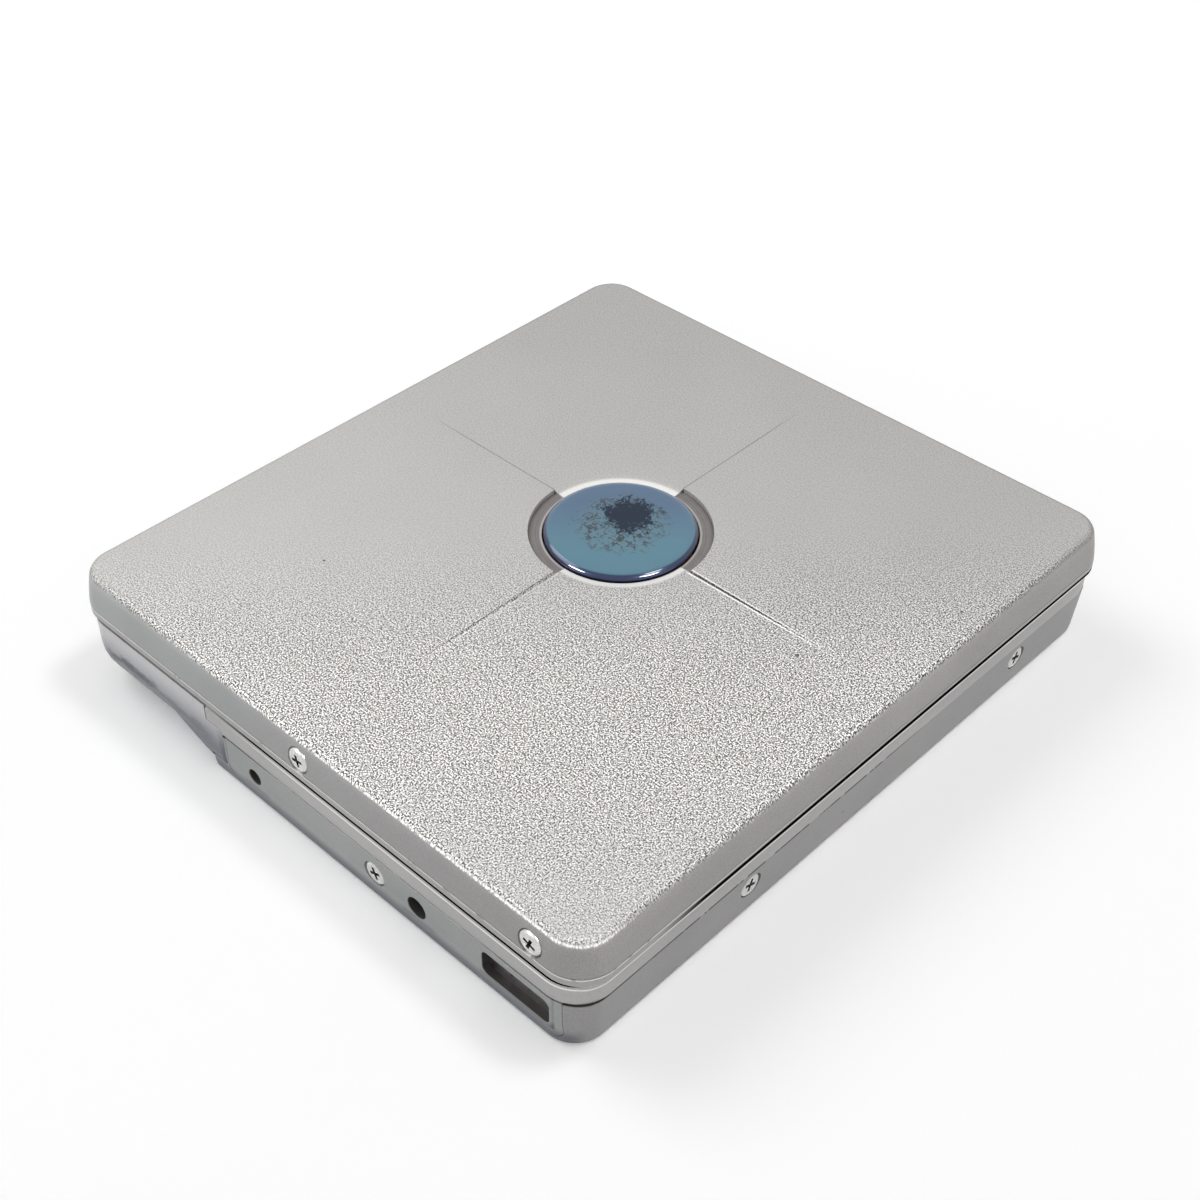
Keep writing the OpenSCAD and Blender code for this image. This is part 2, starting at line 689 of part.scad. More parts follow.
module board_chips() {
  right = half_w - 12;
  chips = [
    [right, -22, 9, 9, 0.9], [right - 1, 13, 11, 11, 1], [spindle_x - 6, 17, 7, 8, 0.8],
    [spindle_x + 8, 15, 5, 6, 0.8], [right + 6, -8, 3, 5, 1.2], [right + 5, 27, 4, 6, 1.1],
    [spindle_x - 8, 30, 8, 4, 1.3], [right - 5, 24, 2.5, 4, 0.7]
  ];
  color([0.1, 0.1, 0.11]) for (c = chips) translate([c[0] - c[2] / 2, c[1] - c[3] / 2, board_top])
    cube([c[2], c[3], c[4]]);
}

module phones_jack() {
  mouth = half_d - face_inset - 0.3;
  inner = half_d - wall_inset - case_wall - 0.05;
  color([0.13, 0.13, 0.14]) difference() {
    union() {
      span([jack_x - jack_half, mouth - jack_deep - 0.6, board_top],
           [jack_x + jack_half, inner, panel_mid + 2.3]);
      rod_y(jack_x, panel_mid, jack_bore_d / 2 + 0.35, inner - 0.1, mouth);
    }
    rod_y(jack_x, panel_mid, jack_bore_d / 2, mouth - jack_deep, mouth + 1);
  }
}

module terminal_block() {
  mid = panel_mid + 0.1;
  color([0.1, 0.1, 0.11]) difference() {
    span([slot_x0 - 0.6, panel_back + seat, mid - slot_h / 2 - 0.5],
         [slot_x1 + 0.6, block_back, mid + slot_h / 2 + 0.5]);
    span([slot_x0, panel_back - 1, mid - slot_h / 2], [slot_x1, slot_floor, mid + slot_h / 2]);
  }
}

module charge_contacts() {
  pitch = 2.2;
  color([0.85, 0.7, 0.35]) for (i = [-1:1]) {
    x = (slot_x0 + slot_x1) / 2 + i * pitch;
    span([x - 0.5, slot_floor - 0.15, panel_mid - 1], [x + 0.5, slot_floor, panel_mid + 1.2]);
  }
}

module battery_cell() {
  cap = 1.2;
  color([0.75, 0.76, 0.78]) translate([(cell_x0 + cell_x1) / 2, cell_y1, cell_z + cell_h / 2])
    rotate([90, 0, 0]) linear_extrude(cell_l) rounded_square(cell_w, cell_h, cap);
}

module battery_contact() {
  mid = (cell_x0 + cell_x1) / 2;
  reach = stop_y - cell_y1 - 0.15 - seat;
  color([0.8, 0.72, 0.5]) {
    span([mid - 2.5, stop_y - 0.15, floor_t + 0.6], [mid + 2.5, stop_y, seam_z - 0.6]);
    intersection() {
      rod_z(mid, stop_y - 0.1, reach + 0.05, floor_t + 1.2, seam_z - 1.2);
      span([mid - 2, cell_y1, 0], [mid + 2, stop_y - 0.1, seam_z]);
    }
  }
}

module battery_door() {
  color([0.68, 0.69, 0.71]) difference() {
    union() {
      intersection() {
        door_form();
        union() {
          belly_form();
          belly_blend();
        }
        union() {
          span([-half_w, -half_d, door_z0], [door_pin_x, door_in, door_top]);
          span([cell_x0 + 1.3, -half_d, door_z0], [belly_x - 0.15, lip_y, lip_z]);
        }
      }
      rod_z(door_pin_x, door_pin_y, knuckle_r, knuckle_z0, knuckle_z1);
    }
    hinge_swing();
    rod_z(door_pin_x, door_pin_y, door_pin_r + run_clear, 0, band_z);
    for (z = [[-1, knuckle_z0], [knuckle_z1, band_z + 1]])
      span([door_pin_x - lug_reach - door_gap, -half_d - 1, z[0]], [door_pin_x + 2, door_in + 1, z[1]]);
  }
}

module door_contact() {
  mid = (cell_x0 + cell_x1) / 2;
  color([0.8, 0.72, 0.5]) span([mid - 3, door_in, 1.6], [mid + 3, cell_y0 - 0.1, seam_z - 0.9]);
}

module door_pin() {
  color([0.75, 0.75, 0.76])
    rod_z(door_pin_x, door_pin_y, door_pin_r, knuckle_z0 - lug_gap - lug_h, knuckle_z1 + lug_gap + lug_h);
}

module mechanism_chassis() {
  shafts = [[main_shaft_x, main_shaft_d / 2 + fit_clear], [sub_shaft_x, sub_shaft_d / 2 + fit_clear]];
  lug_half = 1.3;
  color([0.72, 0.73, 0.74]) difference() {
    union() {
      span([chassis_x0, shaft_y0 - 0.2, chassis_z], [chassis_x1, chassis_y1, chassis_top]);
      for (s = shafts, y = [shaft_y0, shaft_y1 - lug_t])
        span([s[0] - lug_half, y, shaft_z - lug_half], [s[0] + lug_half, y + lug_t, chassis_z + 0.1]);
      span([screw_x - lug_half, shaft_y0, shaft_z - lug_half],
           [screw_x + lug_half, shaft_y0 + lug_t, chassis_z + 0.1]);
    }
    for (s = shafts) rod_y(s[0], shaft_z, s[1], shaft_y0 - 1, shaft_y1 + 1);
    rod_y(screw_x, shaft_z, screw_d / 4 + run_clear, shaft_y0 - 1, shaft_y0 + lug_t + 1);
    // ways for the sled, the spindle and the sled motor
    span([spindle_x - sled_w / 2 - 0.5, shaft_y0 + lug_t - 0.3, chassis_z - 1],
         [spindle_x + sled_w / 2 + 0.5, sled_y + sled_l / 2 + 0.5, chassis_top + 1]);
    rod_z(spindle_x, 0, 3, chassis_z - 1, chassis_top + 1);
    span([slot_x0 - 0.9, shaft_y0 - 1, chassis_z - 1], [chassis_x1 + 1, block_back + 0.3, chassis_top + 1]);
    span([screw_x - motor_r - 0.2, motor_y - 0.1, chassis_z - 1],
         [screw_x + motor_r + 0.2, motor_y + motor_l + 0.2, chassis_top + 1]);
    for (p = dampers) rod_z(p[0], p[1], stem_r + fit_clear, chassis_z - 1, chassis_top + 1);
  }
}

module damper_bushes() {
  color([0.08, 0.08, 0.08]) for (p = dampers) difference() {
    rod_z(p[0], p[1], bush_r, chassis_z - bush_l, chassis_z);
    rod_z(p[0], p[1], stem_r + fit_clear, chassis_z - bush_l - 1, chassis_z + 1);
  }
}

module chassis_screws() {
  color([0.8, 0.8, 0.78]) for (p = dampers) translate([p[0], p[1], chassis_top])
    cross_screw(3, 0.5, stem_r, chassis_t + bush_l + 1.2);
}

module spindle_motor() {
  plate_r = 8.6;
  color([0.6, 0.45, 0.25]) translate([spindle_x, 0, 0]) difference() {
    union() {
      rod_z(0, 0, plate_r, stator_z, stator_z + 0.4);
      rod_z(0, 0, 1.9, stator_z, yoke_z - 0.2);
      for (turn = [0:60:300]) rotate([0, 0, turn]) rod_z(5, 0, 1.8, stator_z + 0.3, stator_z + 1.5);
      for (turn = [30, 150, 270]) rotate([0, 0, turn]) rod_z(plate_r - 0.8, 0, 0.6, stator_z, chassis_z);
    }
    rod_z(0, 0, main_shaft_d / 2 + run_clear, stator_z - 1, yoke_z);
  }
}

module rotor_yoke() {
  color([0.35, 0.35, 0.37]) translate([spindle_x, 0, 0]) difference() {
    union() {
      rod_z(0, 0, 6.8, yoke_z + 0.15, yoke_z + yoke_t);
      rod_z(0, 0, 6.4, yoke_z, yoke_z + 0.2);
    }
    rod_z(0, 0, main_shaft_d / 2 + fit_clear, yoke_z - 1, yoke_z + 1);
  }
}

module turntable() {
  hub_z = table_z + table_t;
  color([0.55, 0.56, 0.58]) translate([spindle_x, 0, 0]) rotate_extrude() polygon([
    [0, stator_z + 0.1], [main_shaft_d / 2, stator_z + 0.1], [main_shaft_d / 2, yoke_z + yoke_t],
    [2.4, yoke_z + yoke_t], [2.4, table_z], [table_d / 2, table_z], [table_d / 2, hub_z],
    [4.6, hub_z], [4.6, hub_z + 0.7], [1.95, hub_z + 0.7], [1.95, hub_z + 1.3], [1.1, hub_z + 1.7],
    [0, hub_z + 1.7]
  ]);
}

module guide_shafts() {
  color([0.8, 0.81, 0.82]) {
    rod_y(main_shaft_x, shaft_z, main_shaft_d / 2, shaft_y0, shaft_y1);
    rod_y(sub_shaft_x, shaft_z, sub_shaft_d / 2, shaft_y0, shaft_y1);
  }
}

module sled_motor() {
  color([0.7, 0.7, 0.72]) difference() {
    union() {
      rod_y(screw_x, shaft_z, motor_r, motor_y, motor_y + motor_l);
      span([screw_x - 2.4, motor_y - 0.6, shaft_z - 2.2], [screw_x + 2.4, motor_y, chassis_z]);
    }
    rod_y(screw_x, shaft_z, screw_d / 4 + run_clear, motor_y - 1, motor_y + 4);
  }
}

module lead_screw() {
  y0 = shaft_y0 + lug_t + 0.2;
  y1 = motor_y - 0.8;
  pitch = 1;
  crests = floor((y1 - y0) / pitch);
  thread = [for (i = [0:crests - 1], p = [[0, 0.3], [0.3, 0], [0.5, 0], [0.8, 0.3]])
    [screw_d / 2 - p[1], y0 + pitch * (i + p[0])]];
  color([0.78, 0.76, 0.7]) translate([screw_x, 0, shaft_z]) rotate([-90, 0, 0]) rotate_extrude()
    polygon(concat(
      [[0, shaft_y0], [screw_d / 4, shaft_y0], [screw_d / 4, y0]], thread,
      [[screw_d / 4, y1], [screw_d / 4, motor_y + 3.8], [0, motor_y + 3.8]]
    ));
}

module pickup_sled() {
  front = sled_y - sled_l / 2;
  back = sled_y + sled_l / 2;
  low = chassis_z - 2.6;
  ear_top = chassis_z - move_clear;
  finger_end = screw_x - screw_d / 2 - move_clear;
  color([0.5, 0.5, 0.52]) difference() {
    union() {
      span([spindle_x - sled_w / 2, front, low], [spindle_x + sled_w / 2, back, chassis_top - 0.2]);
      for (y = [front, back - 2])
        span([main_shaft_x - 1.5, y, shaft_z - 1], [spindle_x - sled_w / 2 + 0.5, y + 2, ear_top]);
      span([spindle_x + sled_w / 2 - 0.5, sled_y - 1, shaft_z - 1], [sub_shaft_x + 1.1, sled_y + 1, ear_top]);
      span([sub_shaft_x + 1, sled_y - 0.4, shaft_z - 0.4], [finger_end, sled_y + 0.4, shaft_z + 0.4]);
    }
    rod_y(main_shaft_x, shaft_z, main_shaft_d / 2 + run_clear, front - 1, back + 1);
    rod_y(sub_shaft_x, shaft_z, sub_shaft_d / 2 + run_clear, front - 1, back + 1);
    span([spindle_x - 4, sled_y - 3.6, chassis_top - 0.8], [spindle_x + 4, sled_y + 3.6, chassis_top + 1]);
  }
}

module lens_carrier() {
  low = chassis_top - 0.65;
  color([0.09, 0.09, 0.1]) difference() {
    union() {
      span([spindle_x - 3.2, sled_y - 2.8, low], [spindle_x + 3.2, sled_y + 2.8, low + 0.9]);
      rod_z(spindle_x, sled_y, 2.3, low, low + 1.2);
    }
    rod_z(spindle_x, sled_y, 1.6 + fit_clear, low + 0.6, low + 2);
  }
}

module objective_lens() {
  low = chassis_top - 0.05;
  color([0.55, 0.65, 0.85]) translate([spindle_x, sled_y, low]) rotate_extrude() polygon([
    [0, 0], [1.6, 0], [1.6, 0.45], [1.3, 0.68], [0.7, 0.85], [0, 0.9]
  ]);
}

module hinge_pins() {
  color([0.78, 0.78, 0.8]) for (side = [-1, 1])
    rod_y(hinge_x, hinge_z, pin_r, min(side * pin_y0, side * pin_y1) + 0.05,
          max(side * pin_y0, side * pin_y1) - 0.05);
}

module hinge_springs() {
  wire = 0.24;
  turns = 5;
  r = pin_r + 0.08 + wire / 2;
  color([0.65, 0.65, 0.68]) for (side = [-1, 1])
    translate([hinge_x, side * (notch_y0 - 0.2), hinge_z]) rotate([side * 90, 0, 0])
      coil(r, wire, turns, spring_l - wire - 0.1);
}

module disc_holder() {
  side_z = roof_z + sheet_t;
  color([0.6, 0.61, 0.63]) difference() {
    union() {
      for (side = [0, 1]) mirror([0, side, 0]) {
        span([holder_x0, bay_y, flange_z], [holder_x1, holder_y, side_z]);
        span([holder_x0, bay_y - holder_lip, flange_z], [holder_x1, holder_y, bay_z]);
        span([holder_x0, bay_y - holder_lip, roof_z], [holder_x1, holder_y, side_z]);
        span([hinge_x, holder_arm_y, flange_z],
             [holder_x0 + 0.1, holder_arm_y + holder_arm_w, hinge_z + 0.6]);
        rod_y(hinge_x, hinge_z, eye_r - 0.05, holder_arm_y, holder_arm_y + holder_arm_w);
      }
      span([holder_x0, -holder_y, flange_z], [holder_x0 + sheet_t, holder_y, side_z]);
      span([holder_x0, -holder_y, roof_z], [holder_x0 + rear_plate, holder_y, side_z]);
    }
    for (side = [0, 1]) mirror([0, side, 0])
      rod_y(hinge_x, hinge_z, pin_r + run_clear, holder_arm_y - 1, holder_arm_y + holder_arm_w + 1);
  }
}

module holder_springs() {
  mid_z = (bay_z + roof_z) / 2;
  color([0.75, 0.76, 0.78]) for (side = [0, 1]) mirror([0, side, 0])
    span([-11, holder_y, mid_z - 0.9], [13, holder_y + 0.15, mid_z + 0.9]);
}

module lid_frame() {
  wall_top = lid_under - 0.35;
  step = 0.5;
  screw_wall = half_d - 1.5;
  inner_x0 = -half_w + 1.45;
  inner_x1 = half_w - 1.1;
  color([0.66, 0.67, 0.68]) difference() {
    union() {
      difference() {
        union() {
          shaped_slab(body_w, body_d, corner_r, [[0.2, lid_z], [0, lid_z + 0.2], [0, rim_z]]);
          slab(body_w - 2 * step, body_d - 2 * step, corner_r - step, rim_z - 0.1, cover_z);
        }
        span([inner_x0, -frame_y, lid_z - 1], [inner_x1, frame_y, cover_z + 1]);
      }
      for (side = [0, 1]) mirror([0, side, 0]) {
        span([-half_w + 3.8, frame_y, lid_z + 0.1], [half_w - 3.8, screw_wall, wall_top]);
        span([hinge_x - eye_r, arm_y, hinge_z], [hinge_x + eye_r, arm_y + arm_w, rim_z - 0.3]);
        rod_y(hinge_x, hinge_z, eye_r, arm_y, arm_y + arm_w);
      }
    }
    for (side = [0, 1]) mirror([0, side, 0]) {
      rod_y(hinge_x, hinge_z, pin_r + run_clear, arm_y - 1, arm_y + arm_w + 1);
      for (x = [lid_screw_x1, lid_screw_x2]) {
        rod_y(x, lid_screw_z, stem_r + fit_clear, frame_y - 1, screw_wall + 1);
        rod_y(x, lid_screw_z, lid_screw_d / 2 + 0.1, lid_screw_seat, half_d + 1);
      }
    }
    // lower edge raised over the mouth, with tapered ends
    translate([inner_x1 - 1, 0, lid_z]) rotate([90, 0, 90]) linear_extrude(half_w) polygon([
      [-mouth_end, -1], [-mouth_end, 0], [-mouth_end + mouth_taper, mouth_rise],
      [mouth_end - mouth_taper, mouth_rise], [mouth_end, 0], [mouth_end, -1]
    ]);
    // room for the latch finger
    span([open_x - 3.4, ring_y - 0.5, lid_z - 1],
         [open_x + 3.4 + open_travel, slider_face - 0.9, lid_z + 0.9]);
  }
}

module lid_cover() {
  shoulder = lid_top - 0.5;
  color([0.78, 0.78, 0.77]) difference() {
    shaped_slab(body_w, body_d, corner_r, [
      [0, cover_z], [0.05, cover_z + 0.5], [0.2, cover_z + 1.5], [0.42, cover_z + 2.7],
      [0.54, shoulder], [0.7, lid_top - 0.23], [0.92, lid_top - 0.07], [1.15, lid_top]
    ]);
    slab(body_w - 2 * lid_wall, body_d - 2 * lid_wall - 0.1, corner_r - lid_wall, cover_z - 1, lid_under);
    // round well, wider in the two quarters that show the grey ring
    translate([button_x, button_y, 0]) {
      rod_z(0, 0, ring_r + 0.05, lid_under - 1, ring_top);
      rod_z(0, 0, well_r + 0.1, lid_under, lid_top + 1);
      for (turn = [0, 180]) rotate([0, 0, turn]) {
        intersection() {
          rod_z(0, 0, ring_r, ring_top - 0.1, lid_top + 1);
          translate([0, 0, lid_under]) cube([ring_r + 1, ring_r + 1, 2]);
        }
        // dished quarters that fade into the flat top
        intersection() {
          translate([0, 0, lid_top - crease_dip * crease_r / (crease_r - ring_r)])
            cylinder(r1 = 0, r2 = crease_r, h = crease_dip * crease_r / (crease_r - ring_r));
          translate([0, -crease_r, lid_under]) cube([crease_r, crease_r, 2]);
        }
        // bevelled lip at the well
        intersection() {
          translate([0, 0, lid_top - crease_dip - lip_dip * ring_r / (ring_r - well_r)])
            cylinder(r1 = 0, r2 = ring_r, h = lip_dip * ring_r / (ring_r - well_r));
          translate([0, -crease_r, lid_under]) cube([crease_r, crease_r, 2]);
        }
      }
    }
    for (side = [0, 1], x = [lid_screw_x1, lid_screw_x2]) mirror([0, side, 0]) {
      rod_y(x, lid_screw_z, lid_screw_d / 2 + 0.1, lid_screw_seat, half_d + 1);
      rod_y(x, lid_screw_z, stem_r + fit_clear, half_d - 3, half_d);
    }
  }
}

module lid_screws() {
  color([0.86, 0.86, 0.85]) for (side = [0, 1], x = [lid_screw_x1, lid_screw_x2]) mirror([0, side, 0])
    translate([x, lid_screw_seat, lid_screw_z]) rotate([-90, 0, 0])
      cross_screw(lid_screw_d, lid_head_h, stem_r, 1.9);
}

module button_bezel() {
  color([0.5, 0.48, 0.46]) translate([button_x, button_y, 0]) difference() {
    rod_z(0, 0, ring_r, ring_top - ring_t, ring_top);
    rod_z(0, 0, well_r, ring_top - 1, ring_top + 1);
  }
}

module button_carrier() {
  lug_r = well_r + 0.6;
  lug_top = ring_top - ring_t - 0.05;
  lug_z = lug_top - 0.18;
  color([0.15, 0.15, 0.17]) translate([button_x, button_y, 0]) difference() {
    union() {
      rod_z(0, 0, cap_r - 0.3, carrier_z, carrier_top);
      intersection() {
        rod_z(0, 0, lug_r, lug_z, lug_top);
        for (side = [-1, 1]) translate([0, side * (strip_w / 2 + 3.5), lug_z]) cube([9, 6, 2], center = true);
      }
    }
    rod_z(0, 0, 2.6, carrier_z - 1, carrier_z + 0.2);
  }
}

module button_cap() {
  top = lid_top + button_proud;
  color([0.25, 0.5, 0.65]) translate([button_x, button_y, 0]) rotate_extrude() polygon([
    [0, carrier_top], [cap_r, carrier_top], [cap_r, top - 0.36], [cap_r - 0.12, top - 0.2],
    [cap_r - 0.45, top - 0.1], [cap_r * 0.65, top - 0.03], [0, top]
  ]);
}

module switch_board() {
  color([0.75, 0.5, 0.2]) translate([button_x, button_y, 0]) {
    span([-strip_half, -strip_w / 2, strip_z], [strip_half, strip_w / 2, strip_z + strip_t]);
    for (side = [-1, 1]) translate([side * (strip_half - 1.2), 0, (strip_z + strip_t + lid_under) / 2])
      cube([2.4, strip_w, lid_under - strip_z - strip_t], center = true);
  }
}

module dome_switch() {
  color([0.82, 0.82, 0.84]) translate([button_x, button_y, strip_z + strip_t]) rotate_extrude() polygon([
    [0, 0], [2.1, 0], [1.9, 0.09], [1.1, 0.16], [0, 0.18]
  ]);
}

module lid_flex() {
  color([0.72, 0.48, 0.2])
    span([-half_w + lid_wall + 0.6, button_y - strip_w / 2, lid_under - 0.1],
         [button_x - strip_half, button_y + strip_w / 2, lid_under]);
}

module open_slider() {
  inner_y = slider_face - 1.15;
  color([0.6, 0.61, 0.63]) {
    span([open_x - open_l / 2, slider_face - 0.5, open_z - open_h / 2],
         [open_x + open_l / 2, slider_face, open_z + open_h / 2]);
    span([open_x - 1.5, inner_y - 0.1, open_z - 0.35], [open_x + 1.5, slider_face - 0.4, open_z + 0.35]);
    span([open_x - 3, inner_y - 0.6, deck_z + 0.1], [open_x + 3, inner_y, band_z]);
    // finger that reaches up to the lid frame's catch
    span([open_x - 1, inner_y - 0.6, band_z - 0.1], [open_x, inner_y, lid_z + 0.7]);
    span([open_x - 2, inner_y - 0.6, lid_z + 0.35], [open_x, inner_y, lid_z + 0.7]);
  }
}

module hold_slider() {
  face = half_d - face_inset - 0.02;
  inner = half_d - wall_inset - case_wall - 0.1;
  color([0.6, 0.61, 0.63]) {
    span([hold_x - 3, hold_floor + 0.04, hold_z - 0.9], [hold_x + 3, face, hold_z + 0.9]);
    span([hold_x - 1, inner - 0.2, hold_z - 0.5], [hold_x + 1, hold_floor + 0.1, hold_z + 0.5]);
    span([hold_x - 2.5, inner - 0.5, hold_z - 1.1], [hold_x + 2.5, inner, hold_z + 1.1]);
  }
}

lower_case();
mid_frame();
front_panel();
panel_screw();
case_screws();
deck_plate();
main_board();
board_chips();
phones_jack();
terminal_block();
charge_contacts();
battery_cell();
battery_contact();
battery_door();
door_contact();
door_pin();
mechanism_chassis();
damper_bushes();
chassis_screws();
spindle_motor();
rotor_yoke();
turntable();
guide_shafts();
sled_motor();
lead_screw();
pickup_sled();
lens_carrier();
objective_lens();
hinge_pins();
hinge_springs();
disc_holder();
holder_springs();
lid_frame();
lid_cover();
lid_screws();
button_bezel();
button_carrier();
button_cap();
switch_board();
dome_switch();
lid_flex();
open_slider();
hold_slider();
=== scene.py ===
# %% [markdown]
# # A pocket disc player with a blasted silver lid
# The solids come from the imported model, in metres and already in place, so this lesson only dresses
# them.

# %% Load the imported model
import json
import math

import bmesh
import bpy
from mathutils import Matrix, Vector


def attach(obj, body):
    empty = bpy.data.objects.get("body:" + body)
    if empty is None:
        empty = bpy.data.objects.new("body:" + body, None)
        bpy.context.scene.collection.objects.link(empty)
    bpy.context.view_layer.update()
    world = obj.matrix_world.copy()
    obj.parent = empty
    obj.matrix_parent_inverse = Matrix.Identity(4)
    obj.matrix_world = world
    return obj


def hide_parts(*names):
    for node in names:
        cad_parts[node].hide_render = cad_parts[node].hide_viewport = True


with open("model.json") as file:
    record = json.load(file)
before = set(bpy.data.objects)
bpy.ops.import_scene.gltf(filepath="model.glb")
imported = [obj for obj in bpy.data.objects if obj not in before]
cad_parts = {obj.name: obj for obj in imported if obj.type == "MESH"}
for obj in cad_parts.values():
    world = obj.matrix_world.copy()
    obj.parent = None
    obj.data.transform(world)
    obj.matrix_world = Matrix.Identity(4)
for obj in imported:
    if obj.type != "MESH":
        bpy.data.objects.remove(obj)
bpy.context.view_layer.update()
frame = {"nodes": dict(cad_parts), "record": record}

MM = 0.001
nodes = frame["nodes"]
body_of = {node: body for body, held in frame["record"]["behaviour"]["bodies"].items() for node in held}
slot_of = {name: node.data.materials[0].name for name, node in nodes.items()}

# %% [markdown]
# ## Camera
# The photograph was taken from the front right, looking down about 41 degrees. A camera can be placed
# by eye, but here its turn, tilt, roll and distance were worked out from the corners of the case, so we
# build its three axes from those angles and write them straight into its matrix.

# %% Camera at the photograph's viewpoint
TURN, TILT, ROLL = (math.radians(a) for a in (43.6842, 40.847, 0.2006))
AIM = Vector((-0.15, 0.15, 6.65)) * MM
SLIDE_RIGHT, SLIDE_UP, DISTANCE = 0.1043 * MM, -0.5388 * MM, 188.986 * MM

back = Vector((math.sin(TURN) * math.cos(TILT), -math.cos(TURN) * math.cos(TILT), math.sin(TILT)))
level = Vector((math.cos(TURN), math.sin(TURN), 0))
rise = back.cross(level)
right = math.cos(ROLL) * level + math.sin(ROLL) * rise
up = math.cos(ROLL) * rise - math.sin(ROLL) * level
eye = AIM + SLIDE_RIGHT * right + SLIDE_UP * up + DISTANCE * back

camera = bpy.data.objects.new("photo_camera", bpy.data.cameras.new("photo_camera"))
bpy.context.scene.collection.objects.link(camera)
camera.data.sensor_width = 36
camera.data.lens = 54.65
camera.data.clip_start, camera.data.clip_end = 0.01, 20
camera.matrix_world = Matrix((right, up, back)).transposed().to_4x4()
camera.matrix_world.translation = eye
bpy.context.scene.camera = camera
bpy.context.scene.view_settings.view_transform = "Standard"
print("camera at mm:", [round(v / MM, 1) for v in eye])

# %% [markdown]
# ## Shader maths
# Most finishes here are sums and masks over a place on the part. Node links are hard to read, so one
# small class wraps a socket and lets Python's own operators add the Math nodes. A second class holds a
# material and has the one method that makes any other node.

# %% A socket that can be calculated with
class Wire:
    def __init__(self, finish, socket):
        self.finish, self.socket = finish, socket

    def maths(self, operation, *others):
        return self.finish.node("ShaderNodeMath", {"operation": operation}, [self, *others])

    def __add__(self, other):
        return self.maths("ADD", other)

    def __sub__(self, other):
        return self.maths("SUBTRACT", other)

    def __rsub__(self, other):
        return self.finish.node("ShaderNodeMath", {"operation": "SUBTRACT"}, [other, self])

    def __mul__(self, other):
        return self.maths("MULTIPLY", other)

    def __truediv__(self, other):
        return self.maths("DIVIDE", other)

    def __pow__(self, other):
        return self.maths("POWER", other)

    def __abs__(self):
        return self.maths("ABSOLUTE")

    __radd__, __rmul__ = __add__, __mul__

    def most(self, other):
        return self.maths("MAXIMUM", other)

    def ramp(self, low, high):
        """0 at low, 1 at high, and a smooth step between them."""
        ends = {"From Min": low, "From Max": high}
        return self.finish.node(
            "ShaderNodeMapRange", {"interpolation_type": "SMOOTHSTEP"}, {"Value": self, **ends})

    def near(self, middle, reach):
        """1 at the middle, falling smoothly to 0 at the reach on both sides."""
        return 1 - abs(self - middle).ramp(0.0, reach)


class Finish:
    """A material, with its place on the part in millimetres."""

    def __init__(self, name):
        self.material = bpy.data.materials.new(name)
        self.material.use_nodes = True
        self.tree = self.material.node_tree
        self.tree.nodes.clear()
        place = self.node("ShaderNodeTexCoord", out="Object")
        self.at = self.node(
            "ShaderNodeVectorMath", {"operation": "SCALE"}, {"Vector": place, "Scale": 1 / MM})
        parts = self.node("ShaderNodeSeparateXYZ", values={"Vector": self.at}).socket.node
        self.x, self.y, self.z = (Wire(self, socket) for socket in parts.outputs)

    def node(self, kind, settings=(), values=(), out=0):
        made = self.tree.nodes.new(kind)
        for key, value in dict(settings).items():
            setattr(made, key, value)
        for key, value in values.items() if isinstance(values, dict) else enumerate(values):
            if isinstance(value, Wire):
                self.tree.links.new(value.socket, made.inputs[key])
            else:
                made.inputs[key].default_value = value
        return Wire(self, made.outputs[out]) if made.outputs else None

    def noise(self, scale, detail=2.0, rough=0.5, stretch=(1, 1, 1), shift=(0, 0, 0), warp=0.0):
        """Cloudy values about 0.5; scale counts the grains in a millimetre."""
        at = self.node("ShaderNodeVectorMath", {"operation": "MULTIPLY_ADD"}, [self.at, stretch, shift])
        return self.node("ShaderNodeTexNoise", {}, {
            "Vector": at, "Scale": scale, "Detail": detail, "Roughness": rough, "Distortion": warp})

    def mix(self, factor, first, second):
        return self.node("ShaderNodeMix", {"data_type": "RGBA"}, {0: factor, 6: first, 7: second}, out=2)

    def bump(self, height, depth, strength=1.0):
        return self.node(
            "ShaderNodeBump", {}, {"Height": height, "Distance": depth * MM, "Strength": strength})

    def surface(self, shadow_and_seam=0.0, **sockets):
        """Closes the material: a Principled shader (Base_Color means Base Color), dull black for painted
        gap shadows and dark seams.
        """
        values = {name.replace("_", " "): value for name, value in sockets.items()}
        shader = self.node("ShaderNodeBsdfPrincipled", {}, values)
        if isinstance(shadow_and_seam, Wire):
            black = self.node("ShaderNodeBsdfDiffuse", {}, {"Color": (0.002, 0.002, 0.002, 1)})
            shader = self.node("ShaderNodeMixShader", {}, [shadow_and_seam, shader, black])
        self.node("ShaderNodeOutputMaterial", {}, [shader])
        return self.material


def distance(across, along):
    return (across * across + along * along) ** 0.5


def tone(red, green, blue):
    """A colour as it is seen on a screen, 0 to 255, as the shader's linear colour."""
    seen = [c / 255 for c in (red, green, blue)]
    return (*[c / 12.92 if c <= 0.04045 else ((c + 0.055) / 1.055) ** 2.4 for c in seen], 1.0)


print("a mid grey of 128 is linear", round(tone(128, 128, 128)[0], 3))

# %% [markdown]
# ## Stage and light
# The player lies on a white sweep in soft light. The white must not come from strong lamps, because
# they would bleach the silver, so the floor adds a little glow of its own for camera and mirror rays
# and keeps the soft shadow. The glow grows outwards, where the lamps' light falls off. It is left out
# on the floor's underside, which then lets the light through, so that the bottom can be looked at too.
# Two white boxes show only as glints in shiny edges.

